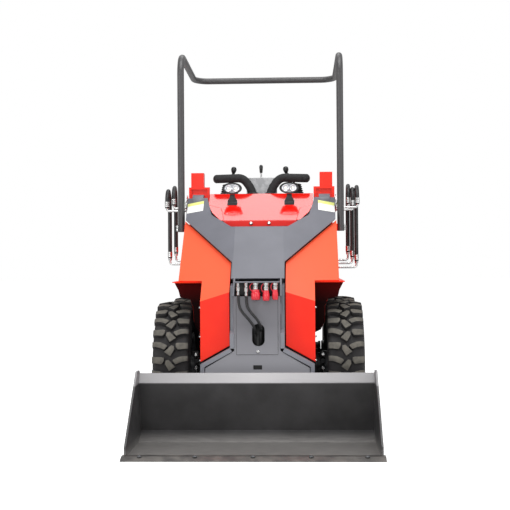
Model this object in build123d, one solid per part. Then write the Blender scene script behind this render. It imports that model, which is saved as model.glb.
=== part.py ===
from build123d import *
import math
import os

# Stand-on mini loader on four wheels, in millimetres.
# The front faces -Y, +X is on the right of a front view, and +Z is up.
# The origin is on the ground at the middle of the machine's length and width.

# ---------------------------------------------------------------- running gear
TYRE_R = 330.0            # over the lugs
TYRE_WIDTH = 188.0        # section width
TREAD_WIDTH = 172.0
TRACK_X = 439.0           # machine centre to tyre centre
WHEELBASE = 710.0
FRONT_AXLE_Y = -91.0
LUG_ROWS = 28             # every second row is the other's mirror image
LUG_HEIGHT = 22.0
BEAD_R = 156.0            # inner radius of the tyre
RIM_WALL = 6.0
DISC_X = 57.0             # wheel disc to tyre centre, inboard
HUB_R = 68.0
SHAFT_R = 18.0
RUN_FIT = 0.05            # radial clearance of a shaft in its bore
AXLE_Z = TYRE_R
REAR_AXLE_Y = FRONT_AXLE_Y + WHEELBASE

# ---------------------------------------------------------------- chassis
FRAME_X = 285.0           # outer face of the side plates
FRAME_PLATE = 10.0
BELLY_Z = 150.0
FRAME_TOP = 768.0         # underside of the side pods, top of the fenders
FRAME_REAR = 735.0
NOSE_FRONT = -414.0       # front face of the lower nose panels
NOSE_BOTTOM = 372.0
PANEL = 5.0               # sheet thickness of panels
POD_X = 410.0             # outer face of the side pods
POD_TOP = 1072.0
POD_REAR = FRAME_REAR
FENDER_X = 438.0
BAY_X = 172.0             # half width of the engine bay walls

# ---------------------------------------------------------------- boom
SLOPE = 42.4              # tilt of the shield from the level, degrees
FOLD = 13.0               # turn of each wing behind the centre facet, degrees
FOLD_X = 128.0
KNEE_Y = -475.0           # front face of the shield meets the upright part here
KNEE_Z = 700.0
SKIN = 6.0
NEST_GAP = 25.0           # shield face in front of the nose panels' face
PIVOT_Y = 199.0
PIVOT_Z = 1188.0
EAR_X = 348.0
EAR_W = 60.0
EAR_R = 52.0
PIN_R = 14.0
COLUMN_X = 120.0          # half width of the upper column
COLUMN_T = 8.0            # its side plates
CHEEK_X = 134.0           # half width over the lower side plates
CHEEK = 20.0
COVER_Y = -480.0          # front face of the lower cover
FLARE_TOP = 445.0         # the side plates start to flare here
FLARE_BOTTOM = 365.0
FLARE_X = 280.0
COLUMN_BACK = -352.0
LEG_BACK = -424.0         # rear edge of the flared legs
FOOT_Z = 322.0            # lower edge of the cover

# ---------------------------------------------------------------- bucket
HINGE_Y = -505.0
HINGE_Z = 205.0
BUCKET_X = 572.0
BUCKET_PLATE = 10.0
LIP_Y = -1055.0
EDGE_X = 581.0
EDGE_T = 16.0
EDGE_BACK = -975.0
ATTACH_X = 320.0
ATTACH_T = 14.0

# ---------------------------------------------------------------- cylinders
LIFT_X = 235.0
LIFT_EYE = (24.0, 935.0)       # rod pin on the boom, Y and Z
LIFT_BASE = (60.0, 340.0)      # barrel pin on the chassis
LIFT_BARREL_R = 31.0
LIFT_ROD_R = 16.0
TILT_TOP = (-372.0, 740.0)     # barrel pin in the column
TILT_EYE = (-405.0, 175.0)     # rod pin on the attach plate
TILT_BARREL_R = 27.0
TILT_ROD_R = 14.0
LUG_T = 12.0                   # plates of the pin brackets
SIDE_PLAY = 0.3                # each side of an eye in its bracket

# ---------------------------------------------------------------- guard hoop and towers
POST_X = 434.0
POST_Y = 112.0
POST_FOOT = 1031.0
HOOP_TOP = 2006.0
HOOP_REAR_Y = 907.0
HOOP_REAR_Z = 1990.0
HOOP_R = 18.5
TOWER_X = 360.0
TOWER_W = 70.0
TOWER_Y = 262.0                # front face
TOWER_TOP = 1366.0
CLEVIS_T = 14.0
CLEVIS_W = 116.0
CLEVIS_NOSE = 18.0
CLEVIS_TOP = 1284.0

# ---------------------------------------------------------------- operator's place
HOOD_FRONT = -8.0
HOOD_LOW = 1089.0
HOOD_HIGH = 1245.0
CONSOLE_FRONT = 222.0
CONSOLE_REAR = 400.0
CONSOLE_TOP = 1246.0
DECK_Z = 1052.0                # top of the deck behind the hood
PLATFORM_Z = 250.0
PLATFORM_X = 320.0
PLATFORM_Y = 776.0             # its hinge
LENGTH_REAR = 1055.0

SIN_S, COS_S = math.sin(math.radians(SLOPE)), math.cos(math.radians(SLOPE))
SIN_F, COS_F = math.sin(math.radians(FOLD)), math.cos(math.radians(FOLD))

os.makedirs("parts", exist_ok=True)
PARTS = {}


# ================================================================ helpers
def box(x0, x1, y0, y1, z0, z1):
    """Block between two corners."""
    return Pos((x0 + x1) / 2, (y0 + y1) / 2, (z0 + z1) / 2) * Box(abs(x1 - x0), abs(y1 - y0), abs(z1 - z0))


def side_plate(outline, x0, x1):
    """Outline of (y, z) corners, extruded across the machine from x0 to x1."""
    face = Plane(origin=(x0, 0, 0), x_dir=(0, 1, 0), z_dir=(1, 0, 0)) * Polygon(*outline, align=None)
    return extrude(face, amount=x1 - x0, dir=(1, 0, 0))


def front_plate(outline, y0, y1):
    """Outline of (x, z) corners, extruded rearwards from y0 to y1."""
    face = Plane(origin=(0, y0, 0), x_dir=(1, 0, 0), z_dir=(0, -1, 0)) * Polygon(*outline, align=None)
    return extrude(face, amount=y1 - y0, dir=(0, 1, 0))


def level_plate(outline, z0, z1):
    """Outline of (x, y) corners, extruded upwards from z0 to z1."""
    return extrude(Pos(0, 0, z0) * Polygon(*outline, align=None), amount=z1 - z0, dir=(0, 0, 1))


def rod_x(r, x0, x1, y, z):
    """Round bar across the machine."""
    return Pos((x0 + x1) / 2, y, z) * Rot(0, 90, 0) * Cylinder(r, abs(x1 - x0))


def rod_z(r, x, y, z0, z1):
    """Upright round bar."""
    return Pos(x, y, (z0 + z1) / 2) * Cylinder(r, abs(z1 - z0))


def ribbon(line, t):
    """Corners of a bent sheet: one face line and the same line moved t to its left, mitred."""
    unit = []
    for (a0, b0), (a1, b1) in zip(line, line[1:]):
        length = math.hypot(a1 - a0, b1 - b0)
        unit.append(((a1 - a0) / length, (b1 - b0) / length))
    moved = []
    for i, (a, b) in enumerate(line):
        before, after = unit[max(i - 1, 0)], unit[min(i, len(unit) - 1)]
        na, nb = -before[1] - after[1], before[0] + after[0]
        size = math.hypot(na, nb)
        na, nb = na / size, nb / size
        reach = t / (na * -after[1] + nb * after[0])
        moved.append((a + na * reach, b + nb * reach))
    return list(line) + moved[::-1]


def tube(points, radii, r):
    """Round bar along straight runs joined by tangent arcs."""
    path = FilletPolyline(*points, radius=radii) if radii else Polyline(*points)
    start = Plane(origin=path @ 0, z_dir=path % 0)
    return sweep(start * Circle(r), path=path)


def mirrored(shape):
    return mirror(shape, about=Plane.YZ)


def both(shape):
    return [shape, mirrored(shape)]


def fuse(*shapes):
    """One solid from pieces that meet."""
    flat = []
    for s in shapes:
        flat.extend(s if isinstance(s, (list, tuple)) else [s])
    out = flat[0]
    for s in flat[1:]:
        out = out + s
    return out.clean()


def keep(name, *shapes):
    """Write one node; several shapes become separate solids of that node."""
    flat = []
    for s in shapes:
        flat.extend(s if isinstance(s, (list, tuple)) else [s])
    solids = [solid for s in flat for solid in s.solids()]
    PARTS[name] = solids[0] if len(solids) == 1 else Compound(children=solids)


# ================================================================ shield planes
def shield_z(y, x, behind=0.0):
    """Height of the shield's folded face at y and x, or of a face that far behind it."""
    fall = SIN_F / COS_F / COS_S * max(abs(x) - FOLD_X, 0.0)
    drop = behind / (COS_S * (COS_F if abs(x) > FOLD_X else 1.0))
    return KNEE_Z + (y - KNEE_Y) * SIN_S / COS_S - fall - drop


def shield_y(z, x, behind=0.0):
    """The same face solved for y."""
    return KNEE_Y + (z - shield_z(KNEE_Y, x, behind)) * COS_S / SIN_S


def facet_plane(behind=0.0):
    """Plane of the centre facet, local x across and local y up the slope."""
    normal = Vector(0, -SIN_S, COS_S)
    origin = Vector(0, KNEE_Y, KNEE_Z) - normal * behind
    return Plane(origin=origin, x_dir=(1, 0, 0), z_dir=normal)


def wing_plane(behind=0.0):
    """Plane of the wing on +X, local x outwards from the fold, local y up the slope."""
    normal = Vector(SIN_F, -SIN_S * COS_F, COS_S * COS_F)
    across = Vector(COS_F, SIN_S * SIN_F, -COS_S * SIN_F)
    origin = Vector(FOLD_X, KNEE_Y, KNEE_Z) - normal * behind
    return Plane(origin=origin, x_dir=across, z_dir=normal)


def wing_outline(corners, behind=0.0):
    """Local points of (x, z) corners seen from the front, on the wing's plane."""
    plane = wing_plane(behind)
    return [
        (p.X, p.Y)
        for p in (plane.to_local_coords(Vector(x, shield_y(z, x, behind), z)) for x, z in corners)
    ]


def along_arm(along, out):
    """Point (y, z) beside the boom's arm: along is from the pivot down the slope, out is towards the front."""
    a = math.radians(SLOPE)
    return (PIVOT_Y - math.cos(a) * along - math.sin(a) * out, PIVOT_Z - math.sin(a) * along + math.cos(a) * out)


def wing_sheet(corners, t, behind=0.0):
    """Sheet whose face lies on the wing's plane, t thick towards the machine."""
    plane = wing_plane(behind)
    face = plane * Polygon(*wing_outline(corners, behind), align=None)
    return extrude(face, amount=t, dir=-plane.z_dir)


def facet_sheet(corners, t, behind=0.0):
    """Sheet on the centre facet's plane; corners are (x, z) seen from the front."""
    plane = facet_plane(behind)
    local = [plane.to_local_coords(Vector(x, shield_y(z, 0, behind), z)) for x, z in corners]
    face = plane * Polygon(*[(p.X, p.Y) for p in local], align=None)
    return extrude(face, amount=t, dir=-plane.z_dir)


# ================================================================ wheels
def lug(points, angle, side):
    """One block of the tread: corners (across, onward along the tread), stood on the tyre."""
    middle = sum(p[1] for p in points) / len(points)
    a = math.radians(angle) + middle / TYRE_R
    radial = Vector(0, math.cos(a), math.sin(a))
    base = TYRE_R - LUG_HEIGHT - 20
    spread = max(abs(p[1] - middle) for p in points)
    top = math.sqrt(TYRE_R ** 2 - spread ** 2)
    plane = Plane(origin=radial * base, x_dir=(1, 0, 0), z_dir=radial)
    face = plane * Polygon(*[(side * x, middle - y) for x, y in points], align=None)
    return extrude(face, amount=top - base, dir=radial)


def tyre():
    """Carcass turned about X; each row of lugs is a long bar, a centre block and a short bar."""
    half, tread = TYRE_WIDTH / 2, TREAD_WIDTH / 2
    base = TYRE_R - LUG_HEIGHT
    section = [
        (-half + 14, BEAD_R), (-half + 14, BEAD_R + 16), (-half, base - 62), (-half + 6, base - 26),
        (-tread + 12, base - 4), (0, base), (tread - 12, base - 4), (half - 6, base - 26),
        (half, base - 62), (half - 14, BEAD_R + 16), (half - 14, BEAD_R),
    ]
    face = Plane.XY * Polygon(*section, align=None)
    body = revolve(face, axis=Axis.X)
    long_bar = [(-tread, 0), (-22, 7), (-37, 37), (-tread, 36)]
    centre_block = [(-18, 8), (20, 12), (-2, 64), (-33, 38)]
    short_bar = [(30, 11), (tread, 0), (tread, 33), (46, 38)]
    blocks = []
    for row in range(LUG_ROWS):
        side = 1 if row % 2 else -1
        for block in (long_bar, centre_block, short_bar):
            blocks.append(lug(block, row * 360 / LUG_ROWS, side))
    return body.fuse(*blocks)


def wheel_disc():
    """Pressed steel rim with a deep disc, hub drum and drive shaft, outboard towards +X."""
    half = TYRE_WIDTH / 2 - 14
    seat = BEAD_R - 0.3
    profile = [
        (-half - 6, seat + 14), (-half - 0.3, seat + 14), (-half - 0.3, seat), (half + 0.3, seat),
        (half + 0.3, seat + 14), (half + 6, seat + 14), (half + 6, seat - RIM_WALL),
        (-DISC_X + 16, seat - RIM_WALL), (-DISC_X + 10, seat - 20), (-DISC_X + 10, 40),
        (-DISC_X, 40), (-DISC_X, seat - 30), (-DISC_X + 4, seat - RIM_WALL), (-half - 6, seat - RIM_WALL),
    ]
    rim = revolve(Plane.XY * Polygon(*profile, align=None), axis=Axis.X)
    hub_in = -(TRACK_X - FRAME_X) + 48
    hub = rod_x(HUB_R, hub_in, -DISC_X, 0, 0) + rod_x(42, -DISC_X, -DISC_X + 34, 0, 0)
    shaft = rod_x(SHAFT_R, hub_in - 110, hub_in, 0, 0)
    return fuse(rim, hub, shaft)


def wheels():
    one_tyre, one_rim = tyre(), wheel_disc()
    for end, y in (("front", FRONT_AXLE_Y), ("rear", REAR_AXLE_Y)):
        place = Pos(TRACK_X, y, AXLE_Z)
        keep(f"tyre_{end}_right", place * one_tyre)
        keep(f"tyre_{end}_left", mirrored(place * one_tyre))
        keep(f"rim_{end}_right", place * one_rim)
        keep(f"rim_{end}_left", mirrored(place * one_rim))


def wheel_motors():
    """Hydraulic motors, flanged to the side plates."""
    shaft_face = FRAME_X + 44
    bodies = []
    for y in (FRONT_AXLE_Y, REAR_AXLE_Y):
        body = rod_x(60, BAY_X + 12, shaft_face, y, AXLE_Z) + rod_x(82, FRAME_X, FRAME_X + 14, y, AXLE_Z)
        body = body + rod_x(66, shaft_face - 14, shaft_face, y, AXLE_Z)
        bore = rod_x(SHAFT_R + RUN_FIT, BAY_X + 30, shaft_face + 1, y, AXLE_Z)
        bodies += both(body - bore)
    keep("wheel_motors", bodies)


# ================================================================ chassis
def chassis():
    """Welded frame: two side plates, belly, front and rear walls and the engine bay."""
    side = [
        (NOSE_FRONT + 8, NOSE_BOTTOM + 6), (-330, 230), (-270, BELLY_Z), (FRAME_REAR - 60, BELLY_Z),
        (FRAME_REAR, BELLY_Z + 70), (FRAME_REAR, FRAME_TOP), (shield_y(FRAME_TOP, FRAME_X, NEST_GAP + 12), FRAME_TOP),
        (NOSE_FRONT + 8, shield_z(NOSE_FRONT + 8, FRAME_X, NEST_GAP + 12)),
    ]
    plate = side_plate(side, FRAME_X - FRAME_PLATE, FRAME_X)
    for y in (FRONT_AXLE_Y, REAR_AXLE_Y):
        plate = plate - rod_x(60.4, FRAME_X - 20, FRAME_X + 20, y, AXLE_Z)
    inner = FRAME_X - FRAME_PLATE
    belly = box(-inner, inner, -270, FRAME_REAR - 60, BELLY_Z, BELLY_Z + 8)
    wall = box(-inner, inner, -332, -322, 236, 640)
    apron = side_plate(ribbon([(-270, BELLY_Z), (-330, 240)], -8), -inner, inner)
    rear = box(-inner, inner, FRAME_REAR - 10, FRAME_REAR, BELLY_Z + 80, FRAME_TOP)
    tail = side_plate(ribbon([(FRAME_REAR, BELLY_Z + 82), (FRAME_REAR - 64, BELLY_Z)], -8), -inner, inner)
    bay = side_plate(
        [(0, BELLY_Z + 4), (0, DECK_Z - 6.3), (FRAME_REAR - 5, DECK_Z - 6.3), (FRAME_REAR - 5, BELLY_Z + 90),
         (FRAME_REAR - 70, BELLY_Z + 4)],
        BAY_X - 8, BAY_X)
    bulkhead = box(-BAY_X, BAY_X, HOOD_FRONT + PANEL + 0.3, 6, BELLY_Z + 4, 1076)
    lugs = []
    for x in (LIFT_X - 20 - SIDE_PLAY - LUG_T, LIFT_X + 20 + SIDE_PLAY):
        ear = rod_x(28, x, x + LUG_T, *LIFT_BASE)
        foot = box(x, x + LUG_T, LIFT_BASE[0] - 40, LIFT_BASE[0] + 40, BELLY_Z + 4, LIFT_BASE[1])
        lugs.append(ear + foot)
    pin = rod_x(13, LIFT_X - 20 - SIDE_PLAY - LUG_T, LIFT_X + 20 + SIDE_PLAY + LUG_T, *LIFT_BASE)
    half = [plate, bay] + lugs + [pin]
    hinge = [
        box(PLATFORM_X - 60, PLATFORM_X - 48, FRAME_REAR - 2, PLATFORM_Y + 14, PLATFORM_Z - 34, PLATFORM_Z + 2)
        - rod_x(9 + RUN_FIT, PLATFORM_X - 80, PLATFORM_X - 40, PLATFORM_Y, PLATFORM_Z - 16)
    ]
    keep("chassis_frame", fuse(belly, wall, apron, rear, tail, bulkhead, half, [mirrored(p) for p in half],
                               hinge, [mirrored(h) for h in hinge]))


def nose_panels():
    """Folded front sheets: a sloped facet over an upright one, on each side of the boom."""
    inner = 140.0
    bend_in = shield_z(NOSE_FRONT, inner, NEST_GAP)
    bend_out = shield_z(NOSE_FRONT, FRAME_X, NEST_GAP)
    diagonal = lambda x: 853 + 0.84 * (x - 128.5)
    upper = wing_sheet(
        [(inner, bend_in), (inner, diagonal(inner)), (POD_X, diagonal(POD_X)), (POD_X, FRAME_TOP + 3.6),
         (FRAME_X, FRAME_TOP + 3.6), (FRAME_X, bend_out)], PANEL, NEST_GAP)
    lower = front_plate(
        [(inner, bend_in), (FRAME_X, bend_out), (FRAME_X, NOSE_BOTTOM), (inner, FLARE_TOP + 8)],
        NOSE_FRONT, NOSE_FRONT + PANEL)
    panel = fuse(upper, lower)
    keep("nose_panel_right", panel)
    keep("nose_panel_left", mirrored(panel))


def side_pods():
    """Tanks over the wheels, with the brackets that carry the guard hoop."""
    clear = NEST_GAP + PANEL + 4
    outline = [
        (shield_y(FRAME_TOP, POD_X, clear), FRAME_TOP), (shield_y(POD_TOP, POD_X, clear), POD_TOP),
        (POD_REAR - 90, POD_TOP), (POD_REAR, POD_TOP - 130), (POD_REAR, FRAME_TOP),
    ]
    pod = side_plate(outline, FRAME_X, POD_X)
    pod = pod - wing_sheet([(FRAME_X - 5, 1300), (386, 1300), (386, 1006), (FRAME_X - 5, 940)], 96, SKIN)
    nest = [along_arm(-70, 70), along_arm(205, 70), along_arm(205, -42), along_arm(0, -60), along_arm(-70, -60)]
    pod = pod - side_plate(nest, EAR_X - EAR_W / 2 - 6, EAR_X + EAR_W / 2 + 6)
    pad = box(POD_X - 2, POST_X - HOOP_R - 0.3, POST_Y - 20, POST_Y + 20, POST_FOOT, POD_TOP - 2)
    pod = fuse(pod, pad)
    keep("side_pod_right", pod)
    keep("side_pod_left", mirrored(pod))


def fenders():
    """Shelf over the wheels with a curved gusset at its front end."""
    front = shield_y(FRAME_TOP, POD_X, NEST_GAP) - 30
    shelf = box(FRAME_X + 0.3, FENDER_X, front, POD_REAR, FRAME_TOP - 5.3, FRAME_TOP - 0.3)
    web = front_plate([(FRAME_X + 0.3, FRAME_TOP - 4), (FENDER_X - 4, FRAME_TOP - 4), (412, 722), (404, 688),
                       (352, 676), (338, 640), (334, 560), (316, 520), (FRAME_X + 0.3, 505)], front + 52, front + 58)
    piece = fuse(shelf, web)
    keep("fender_right", piece)
    keep("fender_left", mirrored(piece))


def hood():
    """Sloped sheet between the boom's wings, folded down at its front edge."""
    front, back, low, high = HOOD_FRONT, CONSOLE_FRONT - 0.3, HOOD_LOW, HOOD_HIGH
    half = [(195, front), (206, 60), (216, 96), (285, 124), (285, back)]
    plan = half + [(-x, y) for x, y in reversed(half)]
    sheet = side_plate(ribbon([(front, 1055), (front, low), (back, high)], -PANEL), -300, 300)
    keep("hood", sheet & level_plate(plan, 1000, 1300))


def towers():
    """Box post with the clevis that holds the boom's pivot pin."""
    post = box(TOWER_X - TOWER_W / 2, TOWER_X + TOWER_W / 2, TOWER_Y, TOWER_Y + TOWER_W, POD_TOP, TOWER_TOP)
    inside = CLEVIS_W / 2
    cheek = [
        (PIVOT_Y - 6, PIVOT_Z - CLEVIS_NOSE + 1), (TOWER_Y + 2, PIVOT_Z - 84), (TOWER_Y + 2, CLEVIS_TOP),
        (TOWER_Y - 16, CLEVIS_TOP),
        (TOWER_Y - 16, PIVOT_Z - 6), (PIVOT_Y + 10, PIVOT_Z + CLEVIS_NOSE - 4),
    ]
    back = box(EAR_X - inside, EAR_X + inside, TOWER_Y - 4, TOWER_Y + 2, PIVOT_Z - 82, CLEVIS_TOP)
    top = box(EAR_X - inside, EAR_X + inside, TOWER_Y - 16, TOWER_Y + 2, CLEVIS_TOP - 12, CLEVIS_TOP)
    pieces = [post, back, top]
    for x in (EAR_X - inside, EAR_X + inside - CLEVIS_T):
        pieces.append(side_plate(cheek, x, x + CLEVIS_T))
        pieces.append(rod_x(CLEVIS_NOSE, x, x + CLEVIS_T, PIVOT_Y, PIVOT_Z))
    pieces.append(rod_x(PIN_R, EAR_X - inside, EAR_X + inside, PIVOT_Y, PIVOT_Z))
    tower = fuse(pieces)
    keep("tower_right", tower)
    keep("tower_left", mirrored(tower))


def guard_hoop():
    """Bent tube over the operator: two posts, two roof rails and a rear bar."""
    path = [
        (-POST_X, POST_Y, POST_FOOT + 0.3), (-POST_X, POST_Y, HOOP_TOP), (-POST_X, HOOP_REAR_Y, HOOP_REAR_Z),
        (POST_X, HOOP_REAR_Y, HOOP_REAR_Z), (POST_X, POST_Y, HOOP_TOP), (POST_X, POST_Y, POST_FOOT + 0.3),
    ]
    keep("guard_hoop", tube(path, [110, 90, 90, 110], HOOP_R))


def hood_z(y):
    """Height of the hood's face at y."""
    return HOOD_LOW + (y - HOOD_FRONT) * (HOOD_HIGH - HOOD_LOW) / (CONSOLE_FRONT - 0.3 - HOOD_FRONT)


def controls():
    """Console, levers, gaiters, grab handles and lamps."""
    shell = side_plate(
        [(CONSOLE_FRONT, DECK_Z + 0.3), (CONSOLE_FRONT, CONSOLE_TOP - 8), (CONSOLE_FRONT + 12, CONSOLE_TOP),
         (CONSOLE_REAR, CONSOLE_TOP),
         (CONSOLE_REAR + 20, 1200), (CONSOLE_REAR + 20, DECK_Z + 0.3)], -FRAME_X + 0.5, FRAME_X - 0.5)
    riser = box(-85, 85, CONSOLE_FRONT + 66, CONSOLE_REAR - 20, CONSOLE_TOP - 8, 1338)
    keep("console", fuse(shell, riser))
    deck = box(-FRAME_X + 0.3, FRAME_X - 0.3, CONSOLE_FRONT - 100, FRAME_REAR, DECK_Z - 6, DECK_Z)
    keep("deck_plate", deck)
    gaiter = Pos(182, 318, CONSOLE_TOP + 0.3 + 30) * Cone(46, 26, 60)
    keep("gaiters", both(gaiter))
    levers = []
    for side in (-1, 1):
        rod = tube([(side * 182, 318, CONSOLE_TOP + 60.6), (side * 182, 318, 1334), (side * 146, 330, 1380)], [20], 6)
        knob = Pos(side * 142, 331, 1388) * Cylinder(17, 34)
        levers.append(fuse(rod, knob))
    keep("drive_levers", levers)
    stalk = tube([(-4, 318, 1338.3), (-4, 316, 1374)], None, 5)
    keep("centre_lever", fuse(stalk, rod_z(10, -4, 316, 1368, 1414)))
    grip = tube([(54, 256, CONSOLE_TOP + 0.3), (54, 256, 1268), (112, 256, 1338), (252, 256, 1332)], [30, 50], 20)
    keep("grab_handles", both(grip))
    foot = [(116, hood_z(116) + 0.3), (150, hood_z(150) + 0.3), (150, 1212), (116, 1212)]
    head = Pos(152, 130, 1268) * Box(92, 40, 52)
    lamp = fuse(head, rod_z(9, 152, 132, 1206, 1246), side_plate(foot, 124, 180))
    keep("work_lamps", both(lamp))


def engine():
    keep("engine_block", box(-150, 150, 120, 560, BELLY_Z + 8.3, 820))


def rear_cover():
    """Engine door at the back with cooling slots, and the pad the operator leans on."""
    panel = box(-FRAME_X + 4, FRAME_X - 4, FRAME_REAR + 0.3, FRAME_REAR + 8, 330, DECK_Z)
    for z in range(420, 860, 40):
        panel = panel - box(-200, 200, FRAME_REAR - 5, FRAME_REAR + 20, z, z + 14)
    keep("rear_door", panel)
    keep("thigh_pad", box(-240, 240, FRAME_REAR + 8.3, FRAME_REAR + 70, 880, 1040))


def platform():
    """Folding step for the operator, hinged at the foot of the rear wall."""
    deck = box(-PLATFORM_X, PLATFORM_X, PLATFORM_Y + 18, LENGTH_REAR, PLATFORM_Z, PLATFORM_Z + 8)
    side = side_plate([(PLATFORM_Y + 18, PLATFORM_Z + 4), (LENGTH_REAR, PLATFORM_Z + 4),
                       (LENGTH_REAR, PLATFORM_Z - 26), (PLATFORM_Y + 18, PLATFORM_Z - 40)], PLATFORM_X - 8, PLATFORM_X)
    ears = side_plate([(PLATFORM_Y - 10, PLATFORM_Z - 34), (PLATFORM_Y + 40, PLATFORM_Z - 34),
                       (PLATFORM_Y + 40, PLATFORM_Z + 4), (PLATFORM_Y - 10, PLATFORM_Z + 2)],
                      PLATFORM_X - 46, PLATFORM_X - 34)
    pin = rod_x(9, PLATFORM_X - 72, PLATFORM_X - 34, PLATFORM_Y, PLATFORM_Z - 16)
    keep("step_platform", fuse(deck, both(side), both(ears), both(pin)))


# ================================================================ boom
def boom():
    """Folded shield on two box arms, with a column whose side plates run down to the hinge."""
    diagonal = lambda x: 864 + 0.84 * (x - 128.5)
    wing = wing_sheet(
        [(FOLD_X, 785), (FOLD_X, 1053), (150, 1053), (212, 1091), (262, 1118), (294, 1219), (408, 1219),
         (404, diagonal(404)), (134, diagonal(134)), (134, 785)], SKIN)
    facet = facet_sheet([(-FOLD_X, 785), (FOLD_X, 785), (FOLD_X, 1053), (-FOLD_X, 1053)], SKIN)
    strip = side_plate([along_arm(0, 29), along_arm(190, 29), along_arm(190, -34), along_arm(0, -EAR_R)],
                       EAR_X - EAR_W / 2, EAR_X + EAR_W / 2)
    ear = strip + rod_x(EAR_R, EAR_X - EAR_W / 2, EAR_X + EAR_W / 2, PIVOT_Y, PIVOT_Z)
    arm = wing_sheet([(318, 1180), (378, 1150), (378, 1090), (170, 905), (129, 900), (129, 985)], 70, SKIN - 1)
    core = facet_sheet([(-FOLD_X - 2, 800), (FOLD_X + 2, 800), (FOLD_X + 2, 985), (-FOLD_X - 2, 985)], 70, SKIN - 1)
    hollow = facet_sheet([(-100, 700), (100, 700), (100, 970), (-100, 970)], 90, SKIN + 4)
    column = side_plate(
        [(shield_y(840, 0, 1), 840), (KNEE_Y, KNEE_Z + 0.3), (COLUMN_BACK, KNEE_Z + 0.3),
         (shield_y(840, 0, 110), 840)], COLUMN_X - COLUMN_T, COLUMN_X)
    cheek = side_plate([(COVER_Y, 515), (COVER_Y, FLARE_TOP - 2), (COLUMN_BACK, FLARE_TOP - 2), (COLUMN_BACK, 760),
                        (-420, 745), (-432, 700), (-432, 535)], CHEEK_X - CHEEK, CHEEK_X)
    flare = front_plate(ribbon([(CHEEK_X, FLARE_TOP), (FLARE_X, FLARE_BOTTOM)], -CHEEK), COVER_Y, LEG_BACK)
    leg = side_plate([(COVER_Y, FLARE_BOTTOM), (COVER_Y, FOOT_Z), (HINGE_Y - 20, HINGE_Z + 30),
                      (HINGE_Y + 34, HINGE_Z - 16), (LEG_BACK, 330), (LEG_BACK, FLARE_BOTTOM - 14)], FLARE_X - CHEEK, FLARE_X)
    boss = rod_x(38, FLARE_X - CHEEK - 2, FLARE_X + 2, HINGE_Y, HINGE_Z)
    bore = rod_x(16 + RUN_FIT, FLARE_X - CHEEK - 5, FLARE_X + 5, HINGE_Y, HINGE_Z)
    lugs = []
    for x in (LIFT_X - 20 - SIDE_PLAY - LUG_T, LIFT_X + 20 + SIDE_PLAY):
        lugs.append(rod_x(28, x, x + LUG_T, *LIFT_EYE) + side_plate(
            [along_arm(262, 20), along_arm(345, 20), (LIFT_EYE[0] - 18, LIFT_EYE[1] - 21),
             (LIFT_EYE[0] + 20, LIFT_EYE[1] + 20)], x, x + LUG_T))
    half = [wing, ear, arm, column, cheek, flare, leg, boss] + lugs
    tie = box(-COLUMN_X, COLUMN_X, COVER_Y + 12.3, COVER_Y + 26, 610, 660)
    pin = rod_x(13, -COLUMN_X + 2, COLUMN_X - 2, *TILT_TOP)
    whole = fuse(facet, core - hollow, half, [mirrored(p) for p in half], tie, pin)
    whole = whole - both(bore)
    whole = whole - both(rod_x(PIN_R + RUN_FIT, EAR_X - EAR_W, EAR_X + EAR_W, PIVOT_Y, PIVOT_Z))
    keep("boom", whole)


def boom_cover():
    """Front cover between the side plates, with the hose hole and the latch slot."""
    edge = CHEEK_X - CHEEK
    outline = [(-edge, 699), (edge, 699), (edge, FLARE_TOP - 14), (FLARE_X - CHEEK - 3, FLARE_BOTTOM - 18),
               (FLARE_X - CHEEK - 3, FOOT_Z), (-FLARE_X + CHEEK + 3, FOOT_Z),
               (-FLARE_X + CHEEK + 3, FLARE_BOTTOM - 18),
               (-edge, FLARE_TOP - 14)]
    sheet = front_plate(outline, COVER_Y + 4, COVER_Y + 12)
    hole = Pos(6, COVER_Y, 509) * Rot(90, 0, 0) * extrude(SlotOverall(110, 62, rotation=90), amount=30, both=True)
    slot = box(-20, 23, COVER_Y, COVER_Y + 20, 339, 361)
    keep("boom_cover", sheet - hole - slot)


# x of the coupler, foot z, body radius, cap radius (0 where a hose is plugged in)
COUPLER_Y = -502.0
COUPLERS = [(-90, 704, 7, 0), (-51, 700, 8, 0), (-5, 732, 14, 22), (46, 728, 14, 17), (90, 732, 12, 14)]


def couplers():
    """Row of hydraulic quick couplers on a plate in the recess of the knee."""
    inner = COLUMN_X - COLUMN_T - 0.3
    shelf = box(-inner, inner, COUPLER_Y - 16, -406, 765.3, 771)
    back = box(-inner, inner, -412, -406, KNEE_Z + 0.6, 771)
    bodies = [rod_z(r, x, COUPLER_Y, low, 767) for x, low, r, cap in COUPLERS]
    keep("couplers", fuse(shelf, back, bodies))
    keep("coupler_caps", [rod_z(cap, x, COUPLER_Y, low - 50, low - 0.3) for x, low, r, cap in COUPLERS if cap])


# ================================================================ bucket
def bucket():
    """Wide bucket: bent back and floor between side plates, top flange, bolted edge."""
    line = [(EDGE_BACK, 0), (-620, 0), (-540, 52), (-605, 290), (-572, 330)]
    width = BUCKET_X - BUCKET_PLATE
    shell = side_plate(ribbon(line, BUCKET_PLATE), -width, width)
    cheek = side_plate([(-995, EDGE_T), (-995, 54), (-658, 350), (-590, 350), (-566, 330), (-605, 290),
                        (-540, 52), (-620, 0), (EDGE_BACK, 0), (EDGE_BACK, EDGE_T)], width, BUCKET_X)
    keep("bucket", fuse(shell, both(cheek)))
    section = [(LIP_Y, 0), (EDGE_BACK, 0), (EDGE_BACK, EDGE_T), (LIP_Y + 40, EDGE_T), (LIP_Y, 4)]
    edge = side_plate(section, -EDGE_X, EDGE_X)
    keep("cutting_edge", edge)


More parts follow.
